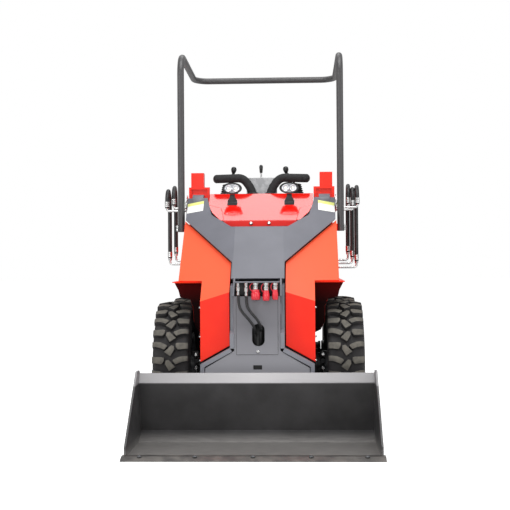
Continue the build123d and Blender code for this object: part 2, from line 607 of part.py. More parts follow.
def attach_plate():
    """Quick-attach plate with the hinge ears and the eye for the tilt cylinder."""
    plate = side_plate(ribbon([(-542, 62), (-602, 282)], -ATTACH_T), -ATTACH_X, ATTACH_X)
    pieces = [plate]
    for x in (FLARE_X - CHEEK - 28, FLARE_X + 10):
        pieces += both(rod_x(34, x, x + 16, HINGE_Y, HINGE_Z) + side_plate(
            [(-551, 120), (HINGE_Y, HINGE_Z - 34), (HINGE_Y, HINGE_Z + 34), (-588, 260)], x, x + 16))
    pieces += both(rod_x(16, FLARE_X - CHEEK - 28, FLARE_X + 26, HINGE_Y, HINGE_Z))
    x = 18 + SIDE_PLAY
    eye_y, eye_z = TILT_EYE
    web = [(-543, 90), (eye_y, eye_z - 26), (eye_y + 4, eye_z + 25), (-575, 230)]
    pieces += both(rod_x(26, x, x + LUG_T, *TILT_EYE) + side_plate(web, x, x + LUG_T))
    keep("attach_plate", fuse(pieces))


# ================================================================ cylinders
def cylinder_pair(base, eye, x, width, barrel_r, rod_r, gland, rod_length, tail_pin, eye_pin):
    """Barrel and rod of one cylinder lying between two pins, at x; width is that of its eyes."""
    by, bz = base
    length = math.hypot(eye[0] - by, eye[1] - bz)
    direction = Vector(0, (eye[0] - by) / length, (eye[1] - bz) / length)
    origin = Vector(x, by, bz)
    frame = Plane(origin=origin, x_dir=(1, 0, 0), z_dir=direction)
    barrel = frame * (Pos(0, 0, (34 + gland) / 2) * Cylinder(barrel_r, gland - 34))
    barrel = barrel + frame * (Pos(0, 0, 26.5) * Cylinder(17, 17))
    barrel = barrel + frame * (Pos(0, 0, gland - 14) * Cylinder(barrel_r + 4, 28))
    barrel = barrel + rod_x(24, x - width / 2, x + width / 2, by, bz)
    bore = frame * (Pos(0, 0, (40 + gland + 5) / 2) * Cylinder(rod_r + RUN_FIT, gland + 5 - 40))
    pin_hole = rod_x(tail_pin + RUN_FIT, x - width, x + width, by, bz)
    rod = frame * (Pos(0, 0, length - rod_length / 2) * Cylinder(rod_r, rod_length))
    rod = rod + rod_x(24, x - width / 2, x + width / 2, *eye)
    return (barrel - bore - pin_hole), rod


def cylinders():
    for name, side in (("right", 1), ("left", -1)):
        barrel, rod = cylinder_pair(LIFT_BASE, LIFT_EYE, side * LIFT_X, 40, LIFT_BARREL_R, LIFT_ROD_R,
                                    535, 524, 13, 12)
        keep(f"lift_barrel_{name}", barrel)
        keep(f"lift_rod_{name}", rod)
    barrel, rod = cylinder_pair(TILT_TOP, TILT_EYE, 0, 36, TILT_BARREL_R, TILT_ROD_R, 395, 400, 13, 12)
    keep("tilt_barrel", barrel)
    keep("tilt_rod", rod)


# ================================================================ hydraulic ports and hoses
HOSE_R = 9.5
COUPLER_HOSE_R = 5.0
PORT_BEND = 13.0
# side of the machine, y and z of the port beside the pivot, x of its elbow
BOOM_PORTS = [(-1, 186, 1150, 522), (-1, 214, 1166, 489), (1, 186, 1150, 505), (1, 214, 1166, 482), (1, 168, 1162, 528)]
# side, x and y of the elbow on the pod, z of the port
POD_PORTS = [(-1, 527, 348, 855), (-1, 496, 376, 873), (1, 507, 348, 855), (1, 484, 376, 873), (1, 530, 330, 832)]
ROUTES = {
    "hose_left_outer": [(-522, 186, 1166), (-522, 186, 1212), (-523, 217, 1254), (-524, 266, 1270), (-526, 316, 1254),
                        (-527, 346, 1212), (-527, 353, 1117), (-527, 348, 985), (-527, 348, 889)],
    "hose_left_inner": [(-489, 214, 1182), (-489, 214, 1232), (-490, 245, 1274), (-492, 294, 1290), (-494, 344, 1274),
                        (-496, 374, 1232), (-496, 381, 1137), (-496, 376, 1010), (-496, 376, 916)],
    "hose_right_outer": [(505, 186, 1166), (505, 186, 1214), (505, 217, 1256), (506, 266, 1272), (507, 316, 1256),
                         (507, 346, 1214), (507, 353, 1119), (507, 348, 985), (507, 348, 889)],
    "hose_right_inner": [(482, 214, 1182), (482, 214, 1234), (482, 245, 1276), (483, 294, 1292), (484, 344, 1276),
                         (484, 374, 1234), (484, 381, 1139), (484, 376, 1010), (484, 376, 916)],
    "hose_right_low": [(528, 168, 1178), (528, 168, 1224), (528, 199, 1266), (529, 248, 1282), (530, 298, 1266),
                       (530, 328, 1224), (530, 335, 1120), (530, 330, 975), (530, 330, 866)],
}
COUPLER_ROUTES = {
    "coupler_hose_left": [(-90, -502, 703.7), (-90, -502, 660), (-72, -506, 622), (-36, -510, 584), (-12, -500, 548),
                          (-8, -474, 520), (-8, -440, 512)],
    "coupler_hose_right": [(-51, -502, 699.7), (-51, -502, 656), (-32, -508, 624), (0, -512, 590), (18, -500, 556),
                           (20, -474, 532), (20, -440, 526)],
}


def hose(points, r):
    """Round hose along the route; each arc is as large as its two runs allow."""
    corners = [Vector(*p) for p in points]
    radii = []
    for a, b, c in zip(corners, corners[1:], corners[2:]):
        shorter = min((b - a).length, (c - b).length)
        turn = math.radians((b - a).get_angle(c - b))
        radii.append(0.45 * shorter / math.tan(turn / 2))
    return tube(points, radii, r), radii


def ports_and_hoses():
    """Elbows at both ends of the side hoses, and all the hoses."""
    disc = []
    for side in (-1, 1):
        disc.append(rod_x(48, side * 408.3, side * 413, PIVOT_Y, PIVOT_Z))
    for side, y, z, x in BOOM_PORTS:
        top = HOSE_TOPS[(side, y)] - 0.3
        disc.append(tube([(side * 410, y, z), (side * x, y, z), (side * x, y, top)], [PORT_BEND], 6))
    keep("boom_ports", fuse(disc))
    elbows = []
    for side, x, y, z in POD_PORTS:
        top = HOSE_ENDS[(side, x)] - 0.3
        pipe = tube([(side * (POD_X + 0.3), y, z), (side * x, y, z), (side * x, y, top)], [PORT_BEND], 6)
        elbows.append(fuse(pipe, rod_z(10, side * x, y, top - 12, top)))
    keep("pod_ports", elbows)
    for name, points in list(ROUTES.items()) + list(COUPLER_ROUTES.items()):
        r = HOSE_R if name in ROUTES else COUPLER_HOSE_R
        shape, radii = hose(points, r)
        runs = sum((Vector(*b) - Vector(*a)).length for a, b in zip(points, points[1:]))
        length = shape.volume / (math.pi * r * r)
        print(name, "radii", [round(v) for v in radii], "length", round(length), "runs", round(runs))
        keep(name, shape)


HOSE_TOPS = {(-1 if p[0][0] < 0 else 1, p[0][1]): p[0][2] for p in ROUTES.values()}
HOSE_ENDS = {(-1 if p[-1][0] < 0 else 1, abs(p[-1][0])): p[-1][2] for p in ROUTES.values()}

wheels()
wheel_motors()
chassis()
nose_panels()
side_pods()
fenders()
hood()
towers()
guard_hoop()
controls()
engine()
rear_cover()
platform()
boom()
boom_cover()
couplers()
bucket()
attach_plate()
cylinders()
ports_and_hoses()

for name, shape in PARTS.items():
    export_step(shape, f"parts/{name}.step")
print(len(PARTS), "nodes")
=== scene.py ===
import math

import bmesh
import bpy
from mathutils import Matrix, Vector


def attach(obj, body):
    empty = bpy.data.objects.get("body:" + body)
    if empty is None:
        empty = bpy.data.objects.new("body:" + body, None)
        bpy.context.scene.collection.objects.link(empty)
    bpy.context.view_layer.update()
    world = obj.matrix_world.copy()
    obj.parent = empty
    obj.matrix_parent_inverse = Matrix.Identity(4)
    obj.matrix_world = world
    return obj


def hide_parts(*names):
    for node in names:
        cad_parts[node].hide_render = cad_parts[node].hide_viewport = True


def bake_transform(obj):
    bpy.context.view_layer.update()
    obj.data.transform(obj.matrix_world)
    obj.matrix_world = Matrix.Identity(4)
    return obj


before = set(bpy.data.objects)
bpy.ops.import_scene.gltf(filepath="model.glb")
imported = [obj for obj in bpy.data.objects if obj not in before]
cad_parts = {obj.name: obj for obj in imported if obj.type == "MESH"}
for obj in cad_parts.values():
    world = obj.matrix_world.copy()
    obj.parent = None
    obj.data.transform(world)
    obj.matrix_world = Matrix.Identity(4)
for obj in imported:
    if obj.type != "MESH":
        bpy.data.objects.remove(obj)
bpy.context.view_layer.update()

# ---- Studio ----
# A white sweep under wide soft boxes, one of them high behind the machine for the gloss of the
# hood, and a camera at hip height in front of the bucket.
scene = bpy.context.scene
scene.view_settings.view_transform = "Standard"
camera = bpy.data.objects.new("studio_camera", bpy.data.cameras.new("studio_camera"))
scene.collection.objects.link(camera)
camera.data.sensor_width = 36.0
camera.data.lens = 74.1
camera.data.clip_end = 200.0
CAMERA_YAW, CAMERA_RISE, CAMERA_ROLL = 2.454, 0.273, -0.4
camera.matrix_world = (
    Matrix.Translation((0.212, -5.607, 0.876))
    @ Matrix.Rotation(math.radians(CAMERA_YAW), 4, "Z")
    @ Matrix.Rotation(math.radians(90.0 + CAMERA_RISE), 4, "X")
    @ Matrix.Rotation(math.radians(CAMERA_ROLL), 4, "Z")
)
scene.camera = camera


def soft_box(name, place, aim, width, height, watts):
    """Rectangular studio lamp that looks at a point."""
    lamp = bpy.data.lights.new(name, "AREA")
    lamp.shape = "RECTANGLE"
    lamp.size, lamp.size_y, lamp.energy = width, height, watts
    holder = bpy.data.objects.new(name, lamp)
    scene.collection.objects.link(holder)
    holder.location = place
    holder.rotation_euler = (Vector(aim) - Vector(place)).to_track_quat("-Z", "Y").to_euler()


soft_box("overhead_box", (0.3, -1.6, 5.2), (0.0, -0.2, 0.6), 4.0, 3.0, 170.0)
soft_box("left_box", (-4.2, -3.2, 2.6), (0.0, 0.0, 0.8), 1.6, 2.6, 60.0)
soft_box("right_box", (4.4, -2.6, 2.8), (0.0, 0.0, 0.8), 1.6, 2.6, 50.0)
soft_box("front_box", (-0.6, -6.4, 1.9), (0.0, -0.5, 0.6), 3.0, 2.0, 60.0)
soft_box("gloss_box", (-0.15, 2.0, 4.9), (0.0, 0.1, 1.2), 2.4, 1.5, 24.0)


def add(tree, kind, inputs=None, **settings):
    """New node with its settings, and its inputs set to a value or linked from a socket."""
    node = tree.nodes.new(kind)
    for key, value in settings.items():
        setattr(node, key, value)
    for key, value in (inputs or {}).items():
        if isinstance(value, bpy.types.NodeSocket):
            tree.links.new(value, node.inputs[key])
        else:
            node.inputs[key].default_value = value
    return node


def linear(code):
    """sRGB hex code as a linear colour."""
    parts = [int(code[i : i + 2], 16) / 255.0 for i in (1, 3, 5)]
    return tuple(p / 12.92 if p <= 0.04045 else ((p + 0.055) / 1.055) ** 2.4 for p in parts) + (1.0,)


# White room, brighter to the camera than in what it lends to the machine.
world = bpy.data.worlds.new("white_room")
world.use_nodes = True
world.node_tree.nodes.clear()
rays = add(world.node_tree, "ShaderNodeLightPath")
seen = add(world.node_tree, "ShaderNodeMath",
           {0: rays.outputs["Is Camera Ray"], 1: rays.outputs["Is Transmission Ray"]}, operation="ADD")
strength = add(world.node_tree, "ShaderNodeMath", {0: seen.outputs[0], 1: 0.45, 2: 0.55}, operation="MULTIPLY_ADD")
sky = add(world.node_tree, "ShaderNodeBackground", {"Color": (1.0, 1.0, 1.0, 1.0), "Strength": strength.outputs[0]})
add(world.node_tree, "ShaderNodeOutputWorld", {"Surface": sky.outputs[0]})
scene.world = world

# White sweep, lifted towards white for the camera only, so that the shadow stays on it.
sweep_paint = bpy.data.materials.new("matt_white_sweep")
sweep_paint.use_nodes = True
sweep_paint.node_tree.nodes.clear()
rays = add(sweep_paint.node_tree, "ShaderNodeLightPath")
lift = add(sweep_paint.node_tree, "ShaderNodeMath", {0: rays.outputs["Is Camera Ray"], 1: 0.58},
           operation="MULTIPLY")
glow = add(sweep_paint.node_tree, "ShaderNodeEmission",
           {"Color": (1.0, 1.0, 1.0, 1.0), "Strength": lift.outputs[0]})
matt = add(sweep_paint.node_tree, "ShaderNodeBsdfDiffuse", {"Color": linear("#ECECEC")})
both = add(sweep_paint.node_tree, "ShaderNodeAddShader", {0: matt.outputs[0], 1: glow.outputs[0]})
add(sweep_paint.node_tree, "ShaderNodeOutputMaterial", {"Surface": both.outputs[0]})
shape = bmesh.new()
bmesh.ops.create_grid(shape, x_segments=1, y_segments=1, size=40.0)
floor_mesh = bpy.data.meshes.new("studio_floor")
shape.to_mesh(floor_mesh)
floor = bpy.data.objects.new("studio_floor", floor_mesh)
floor.location.z = -0.001
floor_mesh.materials.append(sweep_paint)
scene.collection.objects.link(floor)

# ---- Tyres ----
# Four bar-lug tyres, 660 mm across, moulded in one piece from hard black rubber. Work has worn the
# faces of the lugs to a dusty grey; the grooves and the side walls stay dark.
def new_finish(name, code, roughness, metallic=0.0):
    """Material with one Principled shader; returns it, its tree, the shader and object coordinates."""
    finish = bpy.data.materials.new(name)
    finish.use_nodes = True
    tree = finish.node_tree
    tree.nodes.clear()
    shader = add(tree, "ShaderNodeBsdfPrincipled",
                 {"Base Color": linear(code), "Roughness": roughness, "Metallic": metallic})
    add(tree, "ShaderNodeOutputMaterial", {"Surface": shader.outputs[0]})
    place = add(tree, "ShaderNodeTexCoord").outputs["Object"]
    return finish, tree, shader, place


def blotches(tree, place, shader, code_a, code_b, size_mm, low=0.35, high=0.65):
    """Lets the colour drift between two tints in soft patches of a real size."""
    cloud = add(tree, "ShaderNodeTexNoise", {"Vector": place, "Scale": 1000.0 / size_mm, "Detail": 4.0})
    span = add(tree, "ShaderNodeMapRange", {"Value": cloud.outputs["Fac"], "From Min": low, "From Max": high})
    mix = add(tree, "ShaderNodeMix", {0: span.outputs[0], 6: linear(code_a), 7: linear(code_b)}, data_type="RGBA")
    tree.links.new(mix.outputs[2], shader.inputs["Base Color"])
    return mix


def grain(tree, place, shader, size_mm, height_mm, strength=0.5):
    """Fine bump of a real grain size and height."""
    cloud = add(tree, "ShaderNodeTexNoise", {"Vector": place, "Scale": 1000.0 / size_mm, "Detail": 3.0})
    bump = add(tree, "ShaderNodeBump",
               {"Height": cloud.outputs["Fac"], "Distance": height_mm / 1000.0, "Strength": strength})
    tree.links.new(bump.outputs[0], shader.inputs["Normal"])


def dress(names, finish, round_mm=1.5):
    """Gives CAD nodes their finish and rounds their sheet edges."""
    for name in names:
        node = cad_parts[name]
        for slot in node.material_slots:
            slot.material = finish
        if round_mm:
            weld = node.modifiers.new("meet", "WELD")
            weld.merge_threshold = 0.00002
            edge = node.modifiers.new("rounded_edges", "BEVEL")
            edge.width = round_mm / 1000.0
            edge.segments = 2
            edge.limit_method = "ANGLE"
            edge.angle_limit = math.radians(32)
            edge.use_clamp_overlap = True
            edge.harden_normals = False


def lathe(profile_mm, steps=32):
    """Mesh turned about Z from (radius, height) points."""
    shape = bmesh.new()
    ring = [shape.verts.new((r / 1000.0, 0.0, z / 1000.0)) for r, z in profile_mm]
    edges = [shape.edges.new(pair) for pair in zip(ring, ring[1:])]
    bmesh.ops.spin(shape, geom=ring + edges, axis=(0, 0, 1), cent=(0, 0, 0), steps=steps, angle=math.tau,
                   use_merge=True)
    bmesh.ops.remove_doubles(shape, verts=shape.verts[:], dist=0.000002)
    return shape


def placed(shape, matrix):
    """The shape, moved as a whole."""
    bmesh.ops.transform(shape, matrix=matrix, verts=shape.verts[:])
    return shape


def stand(place_mm, out=(0, 0, 1)):
    """Matrix that puts a piece at a place with its own Z along out."""
    turn = Vector(out).to_track_quat("Z", "Y").to_matrix().to_4x4()
    return Matrix.Translation([c / 1000.0 for c in place_mm]) @ turn


def upright(place_mm):
    """Matrix that turns a plate drawn flat to face the front, and puts its origin at a place."""
    return Matrix.Translation([c / 1000.0 for c in place_mm]) @ Matrix.Rotation(math.radians(90), 4, "X")


def spread(shape, places):
    """The same shape once at each place."""
    first = shape.verts[:] + shape.edges[:] + shape.faces[:]
    for place in places:
        copy = bmesh.ops.duplicate(shape, geom=first)
        verts = [g for g in copy["geom"] if isinstance(g, bmesh.types.BMVert)]
        bmesh.ops.transform(shape, matrix=place, verts=verts)
    bmesh.ops.delete(shape, geom=first[: first.index(next(g for g in first if isinstance(g, bmesh.types.BMEdge)))],
                     context="VERTS")
    return shape


def finished(shape, name, finish, body, smooth=35):
    """Object from a bmesh, with its finish, riding on its body."""
    bmesh.ops.recalc_face_normals(shape, faces=shape.faces[:])
    mesh = bpy.data.meshes.new(name)
    shape.to_mesh(mesh)
    shape.free()
    mesh.shade_smooth()
    mesh.set_sharp_from_angle(angle=math.radians(smooth))
    mesh.materials.append(finish)
    piece = bpy.data.objects.new(name, mesh)
    scene.collection.objects.link(piece)
    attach(piece, body)
    return piece


def flat_plate(outline_mm, thickness_mm, round_mm=0.4):
    """Plate in XY from its outline, with its edges eased."""
    shape = bmesh.new()
    face = shape.faces.new([shape.verts.new((x / 1000.0, y / 1000.0, 0.0)) for x, y in outline_mm])
    grown = bmesh.ops.extrude_face_region(shape, geom=[face])
    verts = [g for g in grown["geom"] if isinstance(g, bmesh.types.BMVert)]
    bmesh.ops.translate(shape, vec=(0, 0, thickness_mm / 1000.0), verts=verts)
    if round_mm:
        bmesh.ops.bevel(shape, geom=shape.edges[:], offset=round_mm / 1000.0, segments=2, profile=0.5,
                        affect="EDGES", material=-1)
    return shape


SIDES = ((1, "right"), (-1, "left"))
AXLES = (("front", -0.091), ("rear", 0.619))
AXLE_HEIGHT = 0.330
WHEEL_CENTRE_X = 0.439
TYRE_RADIUS = 0.330
# Half of the carcass's section from the bead out to the crown: radius, and distance from the middle.
TYRE_SIDE = [(156, 80), (172, 80), (186, 86), (188, 88.5), (192, 88.5), (196, 89), (232, 93.5), (252, 93.5),
             (256, 94), (262, 94), (264, 92), (284, 90), (300, 84), (305, 70)]
TYRE_SECTION = [(r, -x) for r, x in TYRE_SIDE] + [(306, 0)] + TYRE_SIDE[::-1] + [(156, -80)]
# Corners of one row's blocks: across the tread, and onward along it. Every second row is mirrored.
LONG_BAR = [(-91, -1), (-70, 0), (-46, 4), (-16, 18), (-12, 26), (-28, 45), (-52, 34), (-72, 29), (-91, 28)]
CENTRE_BLOCK = [(-6, 31), (6, 19), (21, 23), (24, 42), (3, 79), (-30, 56)]
SHORT_BAR = [(27, 9), (40, 6), (91, 3), (91, 38), (70, 40), (44, 44), (36, 42), (27, 26)]
TREAD_ROWS = 28
TREAD_HALF_WIDTH = 0.091
SHOULDER_DROP = 0.011
LUG_DEPTH = 25.0
LUG_TAPER = 0.035


def join(whole, piece):
    """Puts a small shape into a larger one."""
    part = bpy.data.meshes.new("part")
    piece.to_mesh(part)
    piece.free()
    whole.from_mesh(part)
    bpy.data.meshes.remove(part)


def tread_block(tyre, corners, row, mirrored):
    """One rubber block, tapered a little towards its top and wrapped round the tyre."""
    block = flat_plate([(-x if mirrored else x, y) for x, y in corners], LUG_DEPTH, 0)
    centre = Vector([sum(axis) / len(corners) for axis in zip(*corners)])
    centre.x *= -1 if mirrored else 1
    for vert in block.verts:
        if vert.co.z > 0.001:
            vert.co.x += (centre.x / 1000.0 - vert.co.x) * LUG_TAPER
            vert.co.y += (centre.y / 1000.0 - vert.co.y) * LUG_TAPER
    upper = [e for e in block.edges if max(v.co.z for v in e.verts) > 0.001]
    bmesh.ops.bevel(block, geom=upper, offset=0.0017, segments=2, profile=0.5, affect="EDGES", material=-1)
    bmesh.ops.triangulate(block, faces=[f for f in block.faces if len(f.verts) > 4])
    for vert in block.verts:
        x, y, z = vert.co
        angle = y / TYRE_RADIUS + row * math.tau / TREAD_ROWS
        crown = TYRE_RADIUS - SHOULDER_DROP * (x / TREAD_HALF_WIDTH) ** 4
        radius = crown - (LUG_DEPTH / 1000.0 - z)
        vert.co = (radius * math.cos(angle), radius * math.sin(angle), x)
    join(tyre, block)


for end, axle_y in AXLES:
    rubber, tree, shader, place = new_finish(f"tyre_rubber_worn_{end}", "#3A3936", 0.74)
    parts = add(tree, "ShaderNodeSeparateXYZ", {0: place})
    along = add(tree, "ShaderNodeMath", {0: parts.outputs[1], 1: axle_y}, operation="SUBTRACT")
    up = add(tree, "ShaderNodeMath", {0: parts.outputs[2], 1: AXLE_HEIGHT}, operation="SUBTRACT")
    flat = add(tree, "ShaderNodeCombineXYZ", {1: along.outputs[0], 2: up.outputs[0]})
    radius = add(tree, "ShaderNodeVectorMath", {0: flat.outputs[0]}, operation="LENGTH")
    spoke = add(tree, "ShaderNodeVectorMath", {0: flat.outputs[0]}, operation="NORMALIZE")
    faces = add(tree, "ShaderNodeTexCoord").outputs["Normal"]
    facing = add(tree, "ShaderNodeVectorMath", {0: spoke.outputs[0], 1: faces}, operation="DOT_PRODUCT")
    top = add(tree, "ShaderNodeMapRange", {"Value": facing.outputs["Value"], "From Min": 0.70, "From Max": 0.95})
    outer = add(tree, "ShaderNodeMapRange",
                {"Value": radius.outputs["Value"], "From Min": 0.308, "From Max": 0.316})
    dust = add(tree, "ShaderNodeTexNoise", {"Vector": place, "Scale": 40.0, "Detail": 6.0})
    patchy = add(tree, "ShaderNodeMapRange",
                 {"Value": dust.outputs["Fac"], "From Min": 0.25, "From Max": 0.65, "To Min": 0.45})
    tread = add(tree, "ShaderNodeMath", {0: top.outputs[0], 1: outer.outputs[0]}, operation="MULTIPLY")
    wear = add(tree, "ShaderNodeMath", {0: tread.outputs[0], 1: patchy.outputs[0]}, operation="MULTIPLY")
    tint = add(tree, "ShaderNodeMix", {0: wear.outputs[0], 6: linear("#262425"), 7: linear("#615D55")},
               data_type="RGBA")
    tree.links.new(tint.outputs[2], shader.inputs["Base Color"])
    grain(tree, place, shader, 1.5, 0.25, 0.7)
    for side, word in SIDES:
        tyre = lathe(TYRE_SECTION, 96)
        for row in range(TREAD_ROWS):
            for corners in (LONG_BAR, CENTRE_BLOCK, SHORT_BAR):
                tread_block(tyre, corners, row, row % 2 == (side > 0))
        place_at = Matrix.Translation((side * WHEEL_CENTRE_X, axle_y, AXLE_HEIGHT))
        placed(tyre, place_at @ Matrix.Rotation(math.radians(90), 4, "Y"))
        piece = finished(tyre, f"bar_lug_tyre_{end}_{word}", rubber, f"wheel_{end}_{word}", 50)
        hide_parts(f"tyre_{end}_{word}")

# ---- Rims, wheel nuts and motors ----
# Pressed steel rims with a deep disc, held by five cone nuts on the hub of each wheel motor. The
# rims and motors are painted, with a soft sheen; the zinc plated nuts glint.
graphite, tree, shader, place = new_finish("powder_coat_satin_graphite", "#48494C", 0.36)
blotches(tree, place, shader, "#434447", "#4F5053", 180.0)
grain(tree, place, shader, 2.0, 0.06, 0.5)
dress(["rim_front_left", "rim_front_right", "rim_rear_left", "rim_rear_right"], graphite, 1.0)

black_coat, tree, shader, place = new_finish("chassis_paint_satin_black", "#1C1C1D", 0.45)
blotches(tree, place, shader, "#181819", "#262627", 120.0)
grain(tree, place, shader, 2.0, 0.06, 0.5)
dress(["wheel_motors", "engine_block", "lift_barrel_left", "lift_barrel_right", "tilt_barrel"], black_coat, 1.0)

zinc, tree, shader, place = new_finish("steel_zinc_plated", "#DADAD8", 0.26, 1.0)
blotches(tree, place, shader, "#E2E2E0", "#B9BABB", 9.0)
grain(tree, place, shader, 0.8, 0.04, 0.4)
HEX_CORNER = 0.577  # radius to the corners, for one unit across the flats
WASHER_FOOT, WASHER_TOP, WASHER_THICKNESS = 0.74, 0.70, 2.2


def hex_head(across_mm, height_mm):
    """Hexagon head or nut with a chamfered crown on a round washer."""
    wide, high, washer = across_mm / 1000.0, height_mm / 1000.0, WASHER_THICKNESS / 1000.0
    shape = bmesh.new()
    bmesh.ops.create_cone(shape, cap_ends=True, segments=6, radius1=wide * HEX_CORNER, radius2=wide * HEX_CORNER,
                          depth=high, matrix=Matrix.Translation((0, 0, high / 2 + 0.002)))
    crown = [e for e in shape.edges if min(v.co.z for v in e.verts) > high * 0.9]
    bmesh.ops.bevel(shape, geom=crown, offset=0.0016, segments=2, profile=0.5, affect="EDGES", material=-1)
    bmesh.ops.create_cone(shape, cap_ends=True, segments=28, radius1=wide * WASHER_FOOT, radius2=wide * WASHER_TOP,
                          depth=washer, matrix=Matrix.Translation((0, 0, washer / 2)))
    return shape


def fixings(name, head, places, body):
    """Bright zinc heads, one at each place."""
    finished(spread(head, places), name, zinc, body)


def dome_head(radius_mm):
    """Button head with its socket."""
    r = radius_mm
    return lathe([(0, 0.22 * r), (0.36 * r, 0.22 * r), (0.36 * r, 0.55 * r), (0.44 * r, 0.6 * r),
                  (0.72 * r, 0.48 * r), (0.93 * r, 0.24 * r), (r, 0.05 * r), (r, 0)], 24)


NUTS, NUT_CIRCLE_RADIUS = 5, 70
DISC_FACE_X, HUB_FACE_X = 392.2, 416.2
for end, axle_y in AXLES:
    for side, word in SIDES:
        centre_y, centre_z = axle_y * 1000.0, AXLE_HEIGHT * 1000.0
        turns = [k * math.tau / NUTS for k in range(NUTS)]
        places = [stand((side * DISC_FACE_X, centre_y + NUT_CIRCLE_RADIUS * math.cos(a),
                         centre_z + NUT_CIRCLE_RADIUS * math.sin(a)), (side, 0, 0)) for a in turns]
        fixings(f"wheel_nuts_{end}_{word}", hex_head(19, 15), places, f"wheel_{end}_{word}")
        cap = lathe([(0, 20), (16, 19), (27, 15), (33, 8), (35, 0), (0, 0)])
        placed(cap, stand((side * HUB_FACE_X, centre_y, centre_z), (side, 0, 0)))
        finished(cap, f"hub_cap_{end}_{word}", graphite, f"wheel_{end}_{word}")

# Steel hose fittings on the front motors, black with bright crimped ends, beside the tyres.
black_fitting, tree, shader, place = new_finish("steel_black_oxide", "#2A2A2B", 0.35, 0.8)
grain(tree, place, shader, 1.0, 0.05, 0.4)
for side, word in SIDES:
    body = lathe([(0, 0), (13, 0), (13, 12), (10, 14), (10, 30), (12, 32), (12, 44), (0, 44)], 24)
    spread(body, [stand((side * 326, -176, z), (0, -1, 0)) for z in (322, 358, 392)])
    finished(body, f"motor_fittings_{word}", black_fitting, "chassis")
    tip = lathe([(0, 0), (8, 0), (9, 3), (9, 11), (6, 14), (0, 14)], 24)
    spread(tip, [stand((side * 326, -220.2, z), (0, -1, 0)) for z in (322, 392)])
    finished(tip, f"motor_fitting_tips_{word}", zinc, "chassis")

# ---- Chassis ----
# Welded box of side plates with a belly and a bulkhead, painted black inside and out, and the
# step and deck of the same plate.
dress(["chassis_frame", "deck_plate"], black_coat)

# The step has raised lozenges, pressed into the plate 24 mm apart and turned by turns.
step_coat, tree, shader, place = new_finish("tread_plate_satin_black", "#1E1E1F", 0.42)
blotches(tree, place, shader, "#1A1A1B", "#2B2B2B", 90.0)
cells = add(tree, "ShaderNodeTexVoronoi", {"Vector": place, "Scale": 42.0, "Randomness": 0.0}, feature="F1",
            distance="CHEBYCHEV")
lozenge = add(tree, "ShaderNodeMapRange",
              {"Value": cells.outputs["Distance"], "From Min": 0.22, "From Max": 0.3, "To Min": 1.0, "To Max": 0.0})
raised = add(tree, "ShaderNodeBump", {"Height": lozenge.outputs[0], "Distance": 0.002, "Strength": 0.9})
tree.links.new(raised.outputs[0], shader.inputs["Normal"])
dress(["step_platform"], step_coat)

# ---- Red panels ----
# Folded sheet in gloss red powder coat: nose panels, fenders, side tanks, hood, pivot towers
# and the engine door. Faces that lean back are painted paler, a painted highlight of the light
# from above.
red_coat, tree, shader, place = new_finish("powder_coat_gloss_red", "#FB2406", 0.34)
own_paint_tint = blotches(tree, place, shader, "#F82004", "#FE2A08", 260.0)
# Faces turned upwards get a paler red mixed in: painted highlight.
faces = add(tree, "ShaderNodeSeparateXYZ", {0: add(tree, "ShaderNodeTexCoord").outputs["Normal"]})
leaning = add(tree, "ShaderNodeMapRange", {"Value": faces.outputs[2], "From Min": 0.12, "From Max": 0.3})
painted_light_tint = add(tree, "ShaderNodeMix", {0: leaning.outputs[0], 6: own_paint_tint.outputs[2], 7: linear("#FF5C38")},
            data_type="RGBA")
tree.links.new(painted_light_tint.outputs[2], shader.inputs["Base Color"])
shader.inputs["Specular IOR Level"].default_value = 0.3
grain(tree, place, shader, 3.0, 0.03, 0.3)
dress(["nose_panel_left", "nose_panel_right", "side_pod_left", "side_pod_right", "tower_left", "tower_right",
       "rear_door"], red_coat)

# The fenders have the same coat above; their gussets and undersides are painted dark red, darkest
# lowest down: painted shade.
fender_red, tree, shader, place = new_finish("powder_coat_red_painted_shade_below", "#FB2A0C", 0.30)
own_paint_tint = blotches(tree, place, shader, "#F8270A", "#FE300F", 260.0)
faces = add(tree, "ShaderNodeSeparateXYZ", {0: add(tree, "ShaderNodeTexCoord").outputs["Normal"]})
forward = add(tree, "ShaderNodeMapRange",
              {"Value": faces.outputs[1], "From Min": -0.9, "From Max": -0.7, "To Min": 1.0, "To Max": 0.0})
spots = add(tree, "ShaderNodeSeparateXYZ", {0: place})
low = add(tree, "ShaderNodeMapRange",
          {"Value": spots.outputs[2], "From Min": 0.756, "From Max": 0.760, "To Min": 1.0, "To Max": 0.0})
# Mask of the painted shade: forward faces below the shelf, and faces that turn down.
gusset = add(tree, "ShaderNodeMath", {0: forward.outputs[0], 1: low.outputs[0]}, operation="MULTIPLY")
below = add(tree, "ShaderNodeMapRange",
            {"Value": faces.outputs[2], "From Min": -0.45, "From Max": -0.2, "To Min": 1.0, "To Max": 0.0})
under = add(tree, "ShaderNodeMath", {0: gusset.outputs[0], 1: below.outputs[0]}, operation="MAXIMUM")
depth = add(tree, "ShaderNodeMapRange", {"Value": spots.outputs[2], "From Min": 0.66, "From Max": 0.75})
painted_shade_tone = add(tree, "ShaderNodeMix", {0: depth.outputs[0], 6: linear("#150101"), 7: linear("#4C0303")},
           data_type="RGBA")
painted_shade_mix = add(tree, "ShaderNodeMix", {0: under.outputs[0], 6: own_paint_tint.outputs[2], 7: painted_shade_tone.outputs[2]},
             data_type="RGBA")
tree.links.new(painted_shade_mix.outputs[2], shader.inputs["Base Color"])
dulled = add(tree, "ShaderNodeMapRange", {"Value": under.outputs[0], "To Min": 0.34, "To Max": 0.9})
tree.links.new(dulled.outputs[0], shader.inputs["Roughness"])
shader.inputs["Specular IOR Level"].default_value = 0.12
grain(tree, place, shader, 3.0, 0.05, 0.3)
dress(["fender_left", "fender_right"], fender_red)

